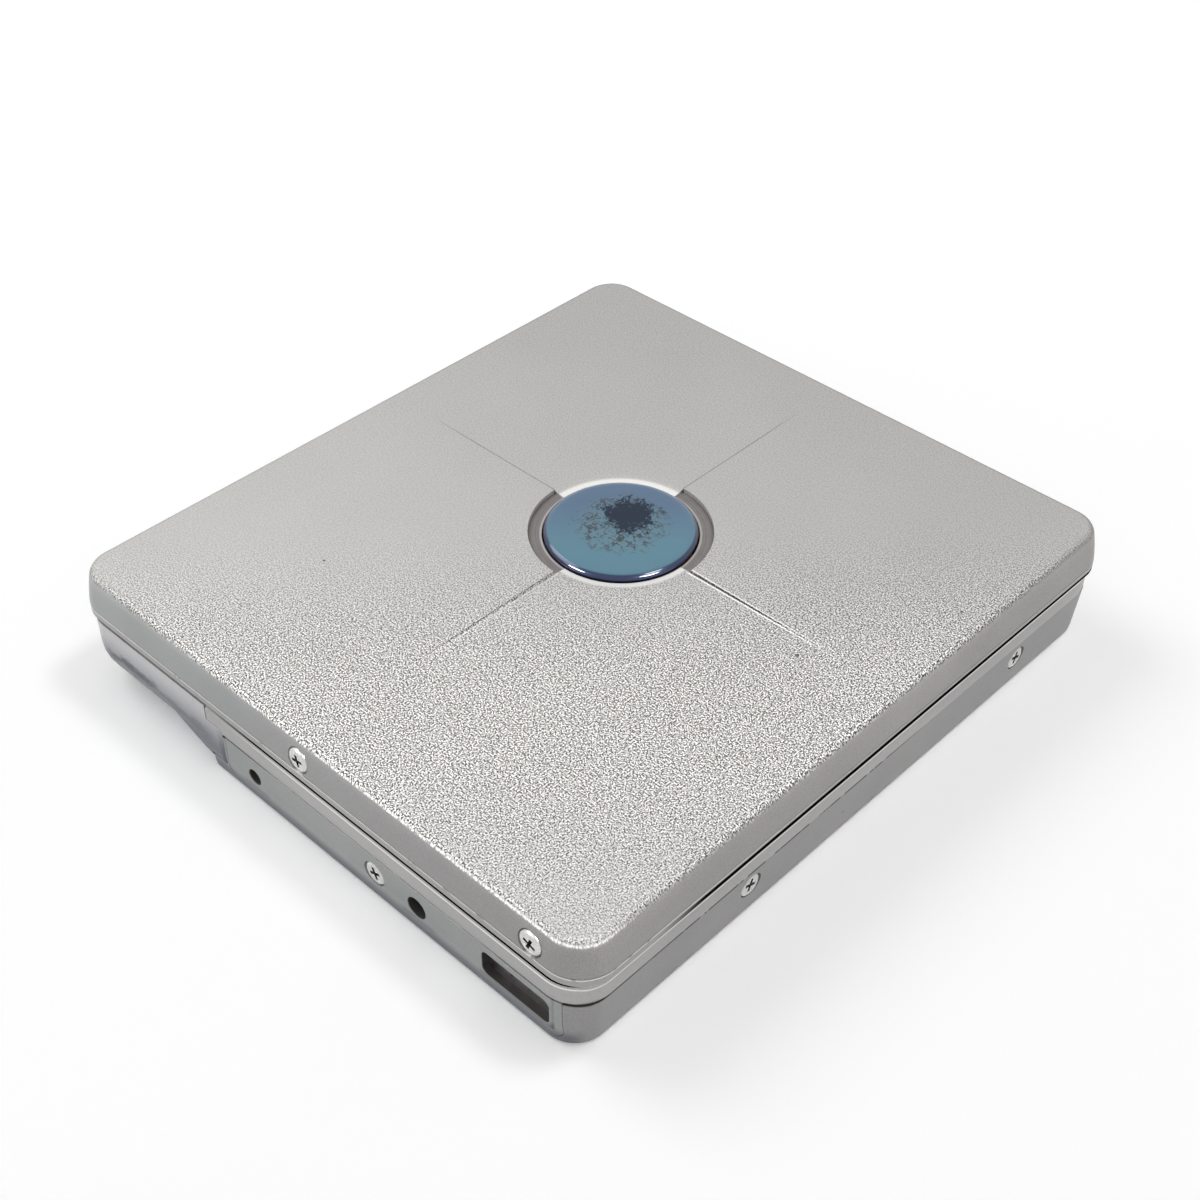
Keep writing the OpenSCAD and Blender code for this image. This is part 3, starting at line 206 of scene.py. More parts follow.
# %% Floor, sky and lamps
def white_floor():
    floor = Finish("white_floor")
    rays = floor.node("ShaderNodeLightPath").socket.node.outputs
    seen = Wire(floor, rays["Is Camera Ray"]).most(Wire(floor, rays["Is Glossy Ray"]))
    strength = 0.22 + distance(floor.x, floor.y).ramp(70.0, 1200.0) * 0.35
    paper = floor.node("ShaderNodeBsdfDiffuse", {}, {"Color": (0.9, 0.9, 0.9, 1)})
    glow = floor.node("ShaderNodeEmission", {}, {"Color": (1, 1, 1, 1), "Strength": seen * strength})
    lit = floor.node("ShaderNodeAddShader", {}, [paper, glow])
    clear = floor.node("ShaderNodeBsdfTransparent")
    under = floor.node("ShaderNodeNewGeometry", out="Backfacing")
    either_side = floor.node("ShaderNodeMixShader", {}, [under, lit, clear])
    floor.node("ShaderNodeOutputMaterial", {}, [either_side])
    half, drop = 3.0, -0.01 * MM
    corners = [(-half, -half, drop), (half, -half, drop), (half, half, drop), (-half, half, drop)]
    mesh = bpy.data.meshes.new("sweep")
    mesh.from_pydata(corners, [], [(0, 1, 2, 3)])
    mesh.materials.append(floor.material)
    sweep = bpy.data.objects.new("sweep", mesh)
    bpy.context.scene.collection.objects.link(sweep)


def even_sky(strength):
    """White to the eye and in mirrors, and at the given strength as a light."""
    world = bpy.data.worlds.new("even_sky")
    bpy.context.scene.world = world
    world.use_nodes = True
    tree = world.node_tree
    tree.nodes.clear()
    rays = tree.nodes.new("ShaderNodeLightPath").outputs
    seen = rays["Is Camera Ray"]
    for kind in ("Is Glossy Ray", "Is Transmission Ray"):
        either = tree.nodes.new("ShaderNodeMath")
        either.operation = "MAXIMUM"
        tree.links.new(seen, either.inputs[0])
        tree.links.new(rays[kind], either.inputs[1])
        seen = either.outputs[0]
    level_of = tree.nodes.new("ShaderNodeMapRange")
    level_of.inputs["To Min"].default_value, level_of.inputs["To Max"].default_value = strength, 1.0
    tree.links.new(seen, level_of.inputs["Value"])
    sky = tree.nodes.new("ShaderNodeBackground")
    sky.inputs["Color"].default_value = (1, 1, 1, 1)
    tree.links.new(level_of.outputs[0], sky.inputs["Strength"])
    tree.links.new(sky.outputs[0], tree.nodes.new("ShaderNodeOutputWorld").inputs[0])


def soft_lamp(name, place, size, watts, only_glints=False):
    lamp = bpy.data.lights.new(name, "AREA")
    lamp.shape, lamp.size, lamp.energy = "DISK", size, watts
    hung = bpy.data.objects.new(name, lamp)
    hung.visible_diffuse = not only_glints
    bpy.context.scene.collection.objects.link(hung)
    hung.location = place
    hung.rotation_euler = (Vector((0, 0, 0.006)) - Vector(place)).to_track_quat("-Z", "Y").to_euler()


white_floor()
even_sky(0.5)
soft_lamp("window", (-0.50, -0.12, 0.58), 0.45, 1.6)
soft_lamp("high_back", (0.13, 0.19, 0.60), 0.14, 0.8)
soft_lamp("front_left_box", (-0.22, -0.38, 0.44), 0.22, 5.5, only_glints=True)
soft_lamp("right_box", (0.38, 0.02, 0.48), 0.22, 5.5, only_glints=True)

# %% [markdown]
# ## The lid's blasted silver
# The lid's top is blasted, so it has a fine sparkling grain, most rubbed and so most marked in a broad
# band towards the front corner, while its walls are smooth and are given a darker grey, partly their own
# finish and partly painted shade. One material does both: the distance from the lid's outline decides
# where the grain stops. The front edge between them has a thin bright line, partly rubbed wear and partly
# a painted highlight. Thin painted highlights and shade follow the four folds that run out from the
# button, and the lips of the dished quarters round the ring get a painted highlight.
# The grain is laid on from above, or it would change its size where the skin slopes down to the folds.

# %% Lid finish
BUTTON_AT = Vector((-0.1, 3.3))
HALF_WIDE, HALF_LONG, CORNER, LID_UNDER = 35.8, 39.3, 4.0, 12.85
WELL_REACH, RING_REACH, FOLD_REACH = 8.1, 9.55, 30.0
FROM_ABOVE = (1, 1, 0)
# grains in a millimetre
PIT_GRAINS, DUST_GRAINS, CLOUD_GRAINS = 6.4, 9.0, 0.06
# the band of strong grain, measured along the diagonal towards the front corner
MARKS_BEGIN, MARKS_PEAK, MARKS_END = -6.0, 34.0, 90.0
# where the blasted skin begins and where the front edge's thin bright line lies, partly wear and partly a
# painted highlight, inside the outline
SKIN_EDGE, EDGE_LINE_AT = 0.5, 0.64
# small dark specks: place and radius
SPECKS = (24.9, 1.0, 0.28), (32.5, 16.9, 0.2), (-18.0, -21.0, 0.16)


def from_outline(f):
    """How far inside the lid's rounded outline a place lies."""
    side_x = (abs(f.x) - (HALF_WIDE - CORNER)).most(0.0)
    side_y = (abs(f.y) - (HALF_LONG - CORNER)).most(0.0)
    return CORNER - distance(side_x, side_y)


def about_button(f):
    """Place across and along from the button's centre, and the distance from it."""
    across, along = f.x - BUTTON_AT.x, f.y - BUTTON_AT.y
    return across, along, distance(across, along)


def fold_light_and_shade(f):
    """Painted highlights and shade along the four folds, to be added to the lid's brightness."""
    across, along, out = about_button(f)
    fades = out.ramp(RING_REACH - 0.5, RING_REACH) * (1 - out.ramp(FOLD_REACH * 0.68, FOLD_REACH))
    to_right, to_front = across.ramp(0.0, 1.0), (along * -1).ramp(0.0, 1.0)
    apart = 0.46 - out * 0.011
    first, second = along.near(0.16, 0.13), (along + apart).near(0.1, 0.17)
    between = (along + apart * 0.5).near(0.12, 0.13)
    crisp = (first * 0.4 + second * 0.6 - between * 0.45) * to_right
    front_fold = (across.near(0.16, 0.2) * 0.16 - across.near(-0.12, 0.2) * 0.26) * to_front
    faint = across.near(0.0, 0.16) * (1 - to_front) + along.near(0.0, 0.16) * (1 - to_right)
    return (crisp + front_fold - faint * 0.26) * fades


def wall_tone(lid, cloud):
    """The smooth walls, darker than the top, partly their own grey and partly painted shade: cooler at
    the left, warmer and more mottled at the right.
    """
    x, y = lid.x, lid.y
    dust = lid.noise(DUST_GRAINS, detail=1, shift=(3, 9, 1))
    at_front = y.ramp(-36.0, -38.6)
    to_right = (x * 0.014 + 0.5).ramp(0.0, 1.0)
    mottle = (dust - 0.5) * (0.6 + to_right * 1.6) + (cloud - 0.5) * 1.2 + 0.5
    mottle = mottle - at_front * x.ramp(-28.0, 14.0) * 0.35 + at_front * x.ramp(-24.0, -34.0) * 0.3
    cool = lid.mix(mottle, tone(152, 155, 155), tone(168, 170, 170))
    warm = lid.mix(mottle, tone(147, 144, 144), tone(168, 165, 164))
    return lid.mix(to_right, cool, warm)


def lid_finish():
    lid = Finish("blasted_silver")
    x, y = lid.x, lid.y
    pits = lid.noise(PIT_GRAINS, detail=1, stretch=FROM_ABOVE)
    dust = lid.noise(DUST_GRAINS, detail=1, stretch=FROM_ABOVE, shift=(3, 9, 0.045))
    cloud = lid.noise(CLOUD_GRAINS, detail=2)
    towards = x - y
    marked = towards.ramp(MARKS_BEGIN, MARKS_PEAK) * (1 - towards.ramp(MARKS_PEAK, MARKS_END))
    edge = from_outline(lid)
    grain = (pits.ramp(0.32, 0.68) - 0.5) * 1.1 + (dust - 0.5) * 1.3
    grain = grain * (0.4 + edge.ramp(SKIN_EDGE, 0.9) * 0.6)
    inside = edge + grain * 0.05
    skin = inside.ramp(SKIN_EDGE, 0.62) * lid.z.ramp(LID_UNDER + 0.04, LID_UNDER + 0.1)
    # The thin bright line on the front edge: partly rubbed wear and partly a painted highlight.
    worn_edge_glint = inside.near(EDGE_LINE_AT, 0.15) * y.ramp(-31.0, -37.0) * x.ramp(-30.0, 20.0)

    across, along, out = about_button(lid)
    # A painted highlight on the lips of the dished quarters round the ring, where the grain is also
    # weaker.
    lip_highlight = (1 - out.ramp(RING_REACH - 0.9, RING_REACH - 0.4)) * (across * along).ramp(0.4, -0.4)
    depth = (0.1 + marked * 0.97) * (1 - lip_highlight * 0.8)
    value = 0.42 - y.ramp(-20.0, 40.0) * 0.06 + grain * depth + (cloud - 0.5) * 0.05
    # Painted shade darkens the rounded edge inside the outline, to tone down the glints there.
    value = value - edge.near(0.8, 0.55) * 0.16 + worn_edge_glint * (0.4 + grain * 0.3)
    value = value + fold_light_and_shade(lid) + lip_highlight * 0.3
    for place_x, place_y, radius in SPECKS:
        value = value - (1 - distance(x - place_x, y - place_y).ramp(radius * 0.5, radius)) * 0.5
    top = lid.mix(value, tone(52, 51, 51), tone(255, 253, 250))
    grit = (pits * 0.65 + dust * 0.35) * skin
    return lid.surface(
        Base_Color=lid.mix(skin, wall_tone(lid, cloud), top), Metallic=0.45,
        Roughness=0.38 + skin * 0.14 + edge.near(0.6, 0.7) * 0.3, Normal=lid.bump(grit, 0.05, 0.45))


blasted_silver = lid_finish()
print("made", blasted_silver.name)

# %% [markdown]
# ## Smooth silver for the bands and the case
# The rim, the band, the case, the panel and the door are all smooth silver paint on metal, but each has
# its own depth of grey and its own marks. A function makes the shared satin, with slow clouds, fine
# grain and a few worn dots, and each piece then passes in its layers: a mask and the colour it brings.
# Some layers are painted highlights along edges, and some are painted shade at the foot, in the holes and
# where the door turns under. The shadows in the gaps are painted as masks too, and so are the dark seams;
# paint would still shine there, so they fade to a black without any shine.

# %% Satin finishes
# heights of the lines round the case
RIM_TOP, RIM_FOOT, BEVEL_FOOT, SEAM = 9.72, 9.5, 7.96, 5.86
FRONT_GAP, SIDE_GAP = 8.17, 8.05
# the front panel's holes (middle and reach), its slot (ends), and its face
HOLES, SLOT, PANEL_FACE = ((-7.8, 2.4), (15.2, 3.0)), (23.0, 32.4), -39.16


def satin(name, dark, light, layers=(), shadows_and_seams=(), rough=0.38):
    f = Finish(name)
    cloud = f.noise(0.09, detail=3)
    fine = f.noise(5.0, detail=1)
    value = (cloud - 0.5) * 1.1 + (fine - 0.5) * 1.3 + 0.5
    colour = f.mix(value, tone(*dark), tone(*light))
    worn = f.noise(0.45, detail=3, rough=0.65, shift=(17, 5, 3)).ramp(0.735, 0.76)
    colour = f.mix(worn * 0.7, colour, tone(70, 68, 66))
    for mask, paint in layers:
        colour = f.mix(mask(f), colour, tone(*paint))
    shadow_and_seam = 0.0
    for mask in shadows_and_seams:
        shadow_and_seam = mask(f).most(shadow_and_seam)
    return f.surface(
        shadow_and_seam, Base_Color=colour, Metallic=0.4, Roughness=rough + (fine - 0.5) * 0.12,
        Normal=f.bump(fine, 0.006, 0.35))


def dashes(f, low, high):
    """Broken stretches along a line."""
    return f.noise(0.8, detail=3, rough=0.6, stretch=(1, 1, 0.05)).ramp(low, high)


def rim_highlight(f):
    """Painted highlight along the upper edge of the lid's rim, which fades along the right side."""
    return f.z.near(RIM_TOP, 0.15) * dashes(f, 0.3, 0.42) * (1 - f.y.ramp(-34.0, 10.0) * 0.8) * 0.85


def rim_gap_shadow(f):
    """Painted shadow of the gap where the lid stands clear on the right: the rim's lower edge turns
    black, narrower at the back.
    """
    on_right = f.x.ramp(34.2, 35.0) * f.y.ramp(-31.0, -24.0)
    return (f.z + f.y.ramp(10.0, 38.0) * 0.16).ramp(RIM_FOOT, RIM_FOOT - 0.06) * on_right


def band_highlight(f):
    """Painted highlight along the lower edge of the band's bevel, under the gap."""
    on_right = f.x.ramp(34.0, 34.8)
    height = (f.z + on_right * 0.1).near(BEVEL_FOOT, 0.14)
    return height * dashes(f, 0.22, 0.34) * f.x.ramp(-14.0, 0.0) * 0.95


def band_gap_shadow(f):
    """Painted shadow on the band's bevel in the gap under the lid, in front and along the right side."""
    in_front = f.y.ramp(-37.5, -38.5) * f.x.ramp(-18.0, -6.0)
    on_right = f.x.ramp(34.0, 34.8) * f.y.ramp(-34.0, -29.0)
    line = f.z.ramp(FRONT_GAP, FRONT_GAP + 0.06) * in_front
    return line.most((f.z + 0.1).ramp(SIDE_GAP, SIDE_GAP + 0.05) * on_right)


def seam_line(f):
    """Dark line at the seam: strong at the door and round the front right corner, then broken."""
    at_door = f.x.ramp(-12.6, -12.2) * (1 - f.x.ramp(-9.0, -4.0)) * f.y.ramp(-30.0, -36.0)
    at_corner = f.x.ramp(22.0, 29.0) * (1 - f.y.ramp(-33.0, -25.0))
    along_side = f.x.ramp(33.0, 34.5) * (1 - f.y.ramp(-2.0, 14.0)) * dashes(f, 0.4, 0.5)
    return f.z.near(SEAM, 0.22) * (at_door.most(at_corner).most(along_side)) * 0.92


def foot_shade(f):
    """The front's lower edge turns under and looks dark and bluish."""
    return (1 - f.z.ramp(0.9, 2.3)) * f.y.ramp(-37.0, -38.5) * 0.75


def hole_shade(f):
    """Painted shade inside the panel's holes and slot, behind its face."""
    left_hole, right_hole = (f.x.near(middle, reach) for middle, reach in HOLES)
    holes = left_hole.most(right_hole).ramp(0.0, 0.3)
    slot = f.x.ramp(SLOT[0], SLOT[0] + 0.3) * f.x.ramp(SLOT[1], SLOT[1] - 0.3)
    return f.y.ramp(PANEL_FACE, PANEL_FACE + 0.14) * holes.most(slot) * f.z.ramp(1.5, 1.9)


def door_foot_shade(f):
    """Painted shade where the door turns under: bluish and darker towards its foot."""
    return (1 - f.z.ramp(3.0, 8.0)) * 0.95


def door_smudges(f):
    """Dark rubbed marks along the door, heavier at its left."""
    ragged = f.noise(0.9, detail=4, rough=0.7, stretch=(0.6, 1, 1.2))
    height = f.z - 4.8 + (ragged - 0.5) * 3.6
    heavy = height.near(0.1, 1.1) * f.x.ramp(-32.5, -30.0) * f.x.ramp(-22.5, -25.0)
    light = height.near(-0.2, 1.0) * f.x.ramp(-25.0, -23.0) * f.x.ramp(-13.5, -16.0)
    return heavy * 0.85 + light * 0.4


# BRIGHT paints highlights; BLUISH and INKY paint shade.
BRIGHT, BLUISH, INKY = (246, 245, 242), (84, 89, 100), (84, 81, 80)
rim_silver = satin("rim_silver", (155, 154, 154), (175, 173, 171), [(rim_highlight, BRIGHT)], [rim_gap_shadow])
band_silver = satin("band_silver", (166, 165, 165), (187, 185, 184), [
    (band_highlight, BRIGHT)], [band_gap_shadow, seam_line])
case_silver = satin("case_silver", (138, 137, 137), (158, 156, 156), [
    (foot_shade, BLUISH)], [seam_line])
panel_silver = satin("panel_silver", (145, 147, 148), (165, 166, 165), [
    (foot_shade, BLUISH), (hole_shade, INKY)])
door_silver = satin("door_silver", (189, 189, 191), (209, 208, 209), [
    (door_foot_shade, (106, 111, 119)), (door_smudges, (58, 64, 71))])
print("made", [m.name for m in (rim_silver, band_silver, case_silver, panel_silver, door_silver)])

# %% [markdown]
# ## The blue button
# The cap is coated metal, blue at the far side and teal at the near side, with a navy rim that is a
# painted dark reflection on its rolled edge. Thumbs have rubbed a ragged dark patch through its middle,
# with fine scratches round it. The patch is a circle whose edge is torn by noise, and the scratches are
# thin bands of stretched noise, kept to a field round the patch that reaches further towards the near
# side. The coat alone shines: the metal's own gloss is kept low, so that the patch without a coat stays
# dark.

# %% Button finish
PATCH_AT, PATCH_R = Vector((-0.72, 1.98)), 2.55
FIELD_AT = Vector((-0.3, 0.4))
TEAL, BLUE, NAVY = (77, 129, 150), (68, 103, 136), (8, 34, 80)
DULLED, SCRATCHED, FLECKED, RUBBED = (88, 124, 130), (10, 28, 46), (22, 40, 72), (31, 44, 62)
# how the noise is stretched and shifted for each way the scratches run
SCRATCH_WAYS = ((0.5, 1.8, 1), (0, 0, 0)), ((1.9, 0.5, 1), (9, 4, 0)), ((1.2, 1.3, 1), (5, 1, 7))


def button_finish():
    cap = Finish("worn_blue_coat")
    across, along, out = about_button(cap)
    far = ((across * -0.69 + along * 0.72) / 9 + 0.45).ramp(0.0, 1.0)
    haze = cap.noise(0.5, detail=2)
    coat = cap.mix(far + (haze - 0.5) * 0.3, tone(*TEAL), tone(*BLUE))

    from_patch = distance(across - PATCH_AT.x, along - PATCH_AT.y)
    torn = cap.noise(0.8, detail=4, rough=0.7, warp=0.5)
    spikes = cap.noise(2.6, detail=4, rough=0.75, warp=0.8)
    worn = from_patch + (torn - 0.5) * 4.6 + (spikes - 0.5) * 6.6
    patch = 1 - worn.ramp(PATCH_R - 0.1, PATCH_R + 0.25)
    from_field = distance(across - FIELD_AT.x, along - FIELD_AT.y)
    field = (1 - (from_field + (torn - 0.5) * 5).ramp(3.4, 5.4)) * (1 - patch)
    scratch = 0
    for stretch, shift in SCRATCH_WAYS:
        lines = abs(cap.noise(0.8, detail=0, stretch=stretch, shift=shift, warp=0.6) - 0.5)
        scratch = (1 - lines.ramp(0.012, 0.05)).most(scratch)
    scratch = scratch * field * cap.noise(1.1, detail=2, shift=(3, 8, 0)).ramp(0.42, 0.5)
    flecks = cap.noise(2.2, detail=3, rough=0.7, shift=(6, 2, 5)).ramp(0.61, 0.65) * field
    # The navy rim is a painted dark reflection on the rolled edge, reaching further in on the near side.
    rim_dark_reflection = (out + (across * 0.69 - along * 0.72) * 0.015).ramp(7.5, 7.75)
    colour = cap.mix(field * 0.35, coat, tone(*DULLED))
    colour = cap.mix(scratch * 0.95, colour, tone(*SCRATCHED))
    colour = cap.mix(flecks * 0.8, colour, tone(*FLECKED))
    colour = cap.mix(patch, colour, tone(*RUBBED))
    colour = cap.mix(rim_dark_reflection, colour, tone(*NAVY))
    return cap.surface(
        Base_Color=colour, Metallic=0.2, Roughness=0.2 + patch * 0.2,
        Coat_Weight=1 - patch, Coat_Roughness=0.04,
        Specular_IOR_Level=0.2, Normal=cap.bump(torn, 0.004, 0.15))


def ring_finish():
    ring = Finish("turned_ring_grey")
    out = about_button(ring)[2]
    turned = ring.node(
        "ShaderNodeTexNoise", {"noise_dimensions": "1D"}, {"W": out, "Scale": 6.0, "Detail": 2.0})
    blotch = ring.noise(1.2, detail=3)
    colour = ring.mix(turned * 0.7 + blotch * 0.4, tone(92, 88, 87), tone(137, 132, 131))
    colour = ring.mix(out.near(WELL_REACH + 0.12, 0.22) * 0.6, colour, tone(206, 200, 195))
    colour = ring.mix(out.ramp(RING_REACH - 0.35, RING_REACH - 0.05) * 0.5, colour, tone(66, 62, 60))
    return ring.surface(Base_Color=colour, Metallic=0.35, Roughness=0.42 + (blotch - 0.5) * 0.2)


worn_blue_coat = button_finish()
turned_ring_grey = ring_finish()
print("made", worn_blue_coat.name, "and", turned_ring_grey.name)

# %% [markdown]
# ## Finishes inside
# With the lid up or the door open one sees sheet steel, a black deck, plastic, gold contacts and a
# green board. They are simple stuffs, so one function mixes two tones by a noise that can be stretched
# into a brushed or rolled grain.

# %% Inside finishes
def stuff(name, dark, light, metal, rough, grains=2.0, stretch=(1, 1, 1), **more):
    f = Finish(name)
    grain = f.noise(grains, detail=3, rough=0.6, stretch=stretch)
    cloud = f.noise(0.2, detail=2, shift=(4, 4, 4))
    value = (grain - 0.5) * 1.2 + (cloud - 0.5) * 0.8 + 0.5
    return f.surface(
        Base_Color=f.mix(value, tone(*dark), tone(*light)), Metallic=metal,
        Roughness=rough + (grain - 0.5) * 0.2, Normal=f.bump(grain, 0.01, 0.3), **more)


def screw_finish():
    """Bright plated steel, with painted black shade inside the cross, which the mesh marks with its own
    attribute.
    """
    f = Finish("bright_screw_steel")
    swirl = f.noise(1.6, detail=3)
    inside = f.node("ShaderNodeAttribute", {"attribute_name": "recess"}, out="Fac")
    plated = f.mix(swirl, tone(196, 197, 196), tone(238, 237, 234))
    return f.surface(
        Base_Color=f.mix(inside, plated, tone(16, 15, 15)), Metallic=0.6 - inside * 0.6,
        Roughness=0.26 + (swirl - 0.5) * 0.1 + inside * 0.5)


bright_screw_steel = screw_finish()
finishes = {
    "lid_silver": blasted_silver,
    "band_silver": band_silver,
    "case_silver": case_silver,
    "screw_steel": bright_screw_steel,
    "button_blue": worn_blue_coat,
    "ring_grey": turned_ring_grey,
    "plastic_black": stuff("black_plastic", (26, 26, 28), (48, 48, 50), 0.0, 0.45, 3.0),
    "spring_steel": stuff("rolled_steel", (150, 150, 150), (196, 196, 194), 0.8, 0.32, 2.0, (0.15, 3, 1)),
    "deck_black": stuff("black_deck_paint", (30, 30, 32), (56, 56, 58), 0.2, 0.5, 4.0),
    "board_green": stuff("green_board", (18, 70, 44), (32, 104, 66), 0.0, 0.4, 1.2),
    "flex_amber": stuff("amber_film", (150, 84, 24), (190, 118, 44), 0.0, 0.3, 1.0),
    "contact_gold": stuff("gold_plate", (176, 136, 60), (222, 184, 104), 0.9, 0.25, 4.0),
    "cell_steel": stuff("cell_jacket", (126, 130, 140), (164, 168, 176), 0.6, 0.34, 1.5, (3, 0.2, 1)),
    "bush_rubber": stuff("soft_rubber", (34, 34, 34), (58, 57, 56), 0.0, 0.75, 3.0),
    "coil_copper": stuff("wound_copper", (140, 76, 40), (198, 120, 72), 0.8, 0.35, 6.0, (1, 1, 4)),
    "lens_glass": stuff("coated_lens", (40, 44, 92), (86, 92, 150), 0.1, 0.06, 0.8, Coat_Weight=1.0),
}
own_finish = {
    "lid_frame": rim_silver,
    "battery_door": door_silver,
    "front_panel": panel_silver,
    "terminal_block": stuff("brown_grey_plastic", (88, 85, 85), (108, 104, 103), 0.0, 0.6, 2.0),
    "charge_contacts": stuff("dull_contact_plate", (78, 75, 74), (100, 96, 94), 0.3, 0.55, 3.0),
}


def finish_of(name):
    return own_finish.get(name, finishes[slot_of[name]])


for name, node in nodes.items():
    node.material_slots[0].material = finish_of(name)
print("dressed", len(nodes), "solids in", len(finishes) + len(own_finish), "finishes")

# %% [markdown]
# ## Smooth shells
# The pressed lid, the door and the case have rounded edges, which the solids hold as narrow flat
# strips. More strips would be heavy, so we copy each shell, merge its loose triangles, and let
# neighbouring strips share their shading. Weighting the shared normals by area keeps the big faces flat.

# %% Copies of the shells with blended edges
MERGE, SLIVER = 0.0005 * MM, 0.0002 * MM
BLEND_ANGLES = {"lid_cover": 34, "lower_case": 34, "battery_door": 34, "mid_frame": 25}


def dress(piece, *names):
    """Puts a finished piece in place of the named solids."""
    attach(piece, body_of[names[0]])
    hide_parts(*names)


def blended_shell(name, blend_angle):
    mesh = bpy.data.meshes.new(name + "_shell")
    shape = bmesh.new()
    shape.from_mesh(nodes[name].data)
    bmesh.ops.remove_doubles(shape, verts=shape.verts, dist=MERGE)
    bmesh.ops.dissolve_degenerate(shape, edges=shape.edges, dist=SLIVER)
    for face in shape.faces:
        face.smooth = True
    for edge in shape.edges:
        edge.smooth = len(edge.link_faces) == 2 and edge.calc_face_angle(0.0) < math.radians(blend_angle)
    shape.to_mesh(mesh)
    shape.free()
    mesh.materials.clear()
    mesh.materials.append(finish_of(name))
    shell = bpy.data.objects.new(name + "_shell", mesh)
    bpy.context.scene.collection.objects.link(shell)
    weigh = shell.modifiers.new("weigh", "WEIGHTED_NORMAL")
    weigh.keep_sharp = True
    weigh.weight = 90
    ready = bpy.data.meshes.new_from_object(shell.evaluated_get(bpy.context.evaluated_depsgraph_get()))
    shell.modifiers.clear()
    shell.data = ready
    dress(shell, name)
    return shell


for name, blend_angle in BLEND_ANGLES.items():
    shell = blended_shell(name, blend_angle)
    print(shell.name, len(shell.data.polygons), "faces")

# %% [markdown]
# ## The crowned cap
# The button's cap is a low crown that rolls over at its edge, and that roll catches two small lights.
# It is a shape turned on a lathe, so we draw half of its profile and spin it. The roll is a quarter of
# an ellipse, flat enough to show the rim's painted dark reflection as a navy band.

# %% Lathe the cap
CAP_R, CAP_FOOT, CAP_TOP = 7.95, 13.2, 13.9
CROWN_DROP, ROLL_W, ROLL_H = 0.06, 0.9, 0.46
SPIN_STEPS, ROLL_STEPS, CROWN_STEPS = 96, 12, 6


def cap_profile():
    flat_r = CAP_R - ROLL_W
    steps = [i / CROWN_STEPS for i in range(1, CROWN_STEPS)]
    crown = [(flat_r * part, CAP_TOP - CROWN_DROP * part ** 2) for part in steps]
    turns = [math.pi / 2 * i / ROLL_STEPS for i in range(ROLL_STEPS + 1)]
    edge_top = CAP_TOP - CROWN_DROP
    roll = [(flat_r + ROLL_W * math.sin(t), edge_top - ROLL_H * (1 - math.cos(t))) for t in turns]
    return crown + roll + [(CAP_R, CAP_FOOT)]


def lathe_cap():
    shape = bmesh.new()
    middle = [shape.verts.new((BUTTON_AT.x * MM, BUTTON_AT.y * MM, z * MM)) for z in (CAP_TOP, CAP_FOOT)]
    rings = []
    for radius, z in cap_profile():
        turns = [2 * math.pi * i / SPIN_STEPS for i in range(SPIN_STEPS)]
        rings.append([shape.verts.new((
            (BUTTON_AT.x + radius * math.cos(t)) * MM, (BUTTON_AT.y + radius * math.sin(t)) * MM, z * MM))
            for t in turns])
    for i in range(SPIN_STEPS):
        j = (i + 1) % SPIN_STEPS
        shape.faces.new((middle[0], rings[0][i], rings[0][j]))
        shape.faces.new((middle[1], rings[-1][j], rings[-1][i]))
        for upper, lower in zip(rings, rings[1:]):
            shape.faces.new((upper[i], lower[i], lower[j], upper[j]))
    bmesh.ops.recalc_face_normals(shape, faces=shape.faces)
    for face in shape.faces:
        face.smooth = True
    for edge in shape.edges:
        edge.smooth = edge.calc_face_angle(0.0) < math.radians(40)
    mesh = bpy.data.meshes.new("crowned_cap")
    shape.to_mesh(mesh)
    shape.free()
    mesh.materials.append(worn_blue_coat)
    cap = bpy.data.objects.new("crowned_cap", mesh)
    bpy.context.scene.collection.objects.link(cap)
    dress(cap, "button_cap")
    return cap


crowned_cap = lathe_cap()
print(crowned_cap.name, len(crowned_cap.data.polygons), "faces")

# %% [markdown]
# ## Screws
# Twelve small cross-head screws hold the player together. They are the same screw at different sizes,
# so one screw is modelled once, one unit wide, and Geometry Nodes set it on a point at each seat. The
# seats are read from the solids: each loose solid's box tells where its head ends and how wide it is.
# The cross has its own mark on the mesh, so that the steel's finish can paint the shade inside it black.

# %% One screw, one unit wide and with a head one unit high
HEAD_SIDES, CROSS_HALF, CROSS_ARM, CROSS_DEEP = 48, 0.27, 0.065, 0.9
SHANK_R, SHANK_L = 0.23, 3.0
HEAD_PROFILE = ((0.5, 0.0), (0.5, 0.5), (0.485, 0.72), (0.45, 0.9), (0.4, 1.0))


def loop_of(shape, radius, z):
    turns = [2 * math.pi * i / HEAD_SIDES for i in range(HEAD_SIDES)]
    return [shape.verts.new((radius * math.cos(t), radius * math.sin(t), z)) for t in turns]


def walls(shape, lower, upper):
    count = len(lower)
    return [shape.faces.new((lower[i], lower[(i + 1) % count], upper[(i + 1) % count], upper[i]))
            for i in range(count)]


def cross_outline(shape, half, arm, z):
    quarter = ((half, -arm), (half, arm), (arm, arm))
    places = []
    for turn in range(4):
        cosine, sine = round(math.cos(turn * math.pi / 2)), round(math.sin(turn * math.pi / 2))
        places += [(x * cosine - y * sine, x * sine + y * cosine, z) for x, y in quarter]
    return [shape.verts.new(p) for p in places]


def ring_edges(shape, loop):
    return [shape.edges.get((a, b)) or shape.edges.new((a, b)) for a, b in zip(loop, loop[1:] + loop[:1])]


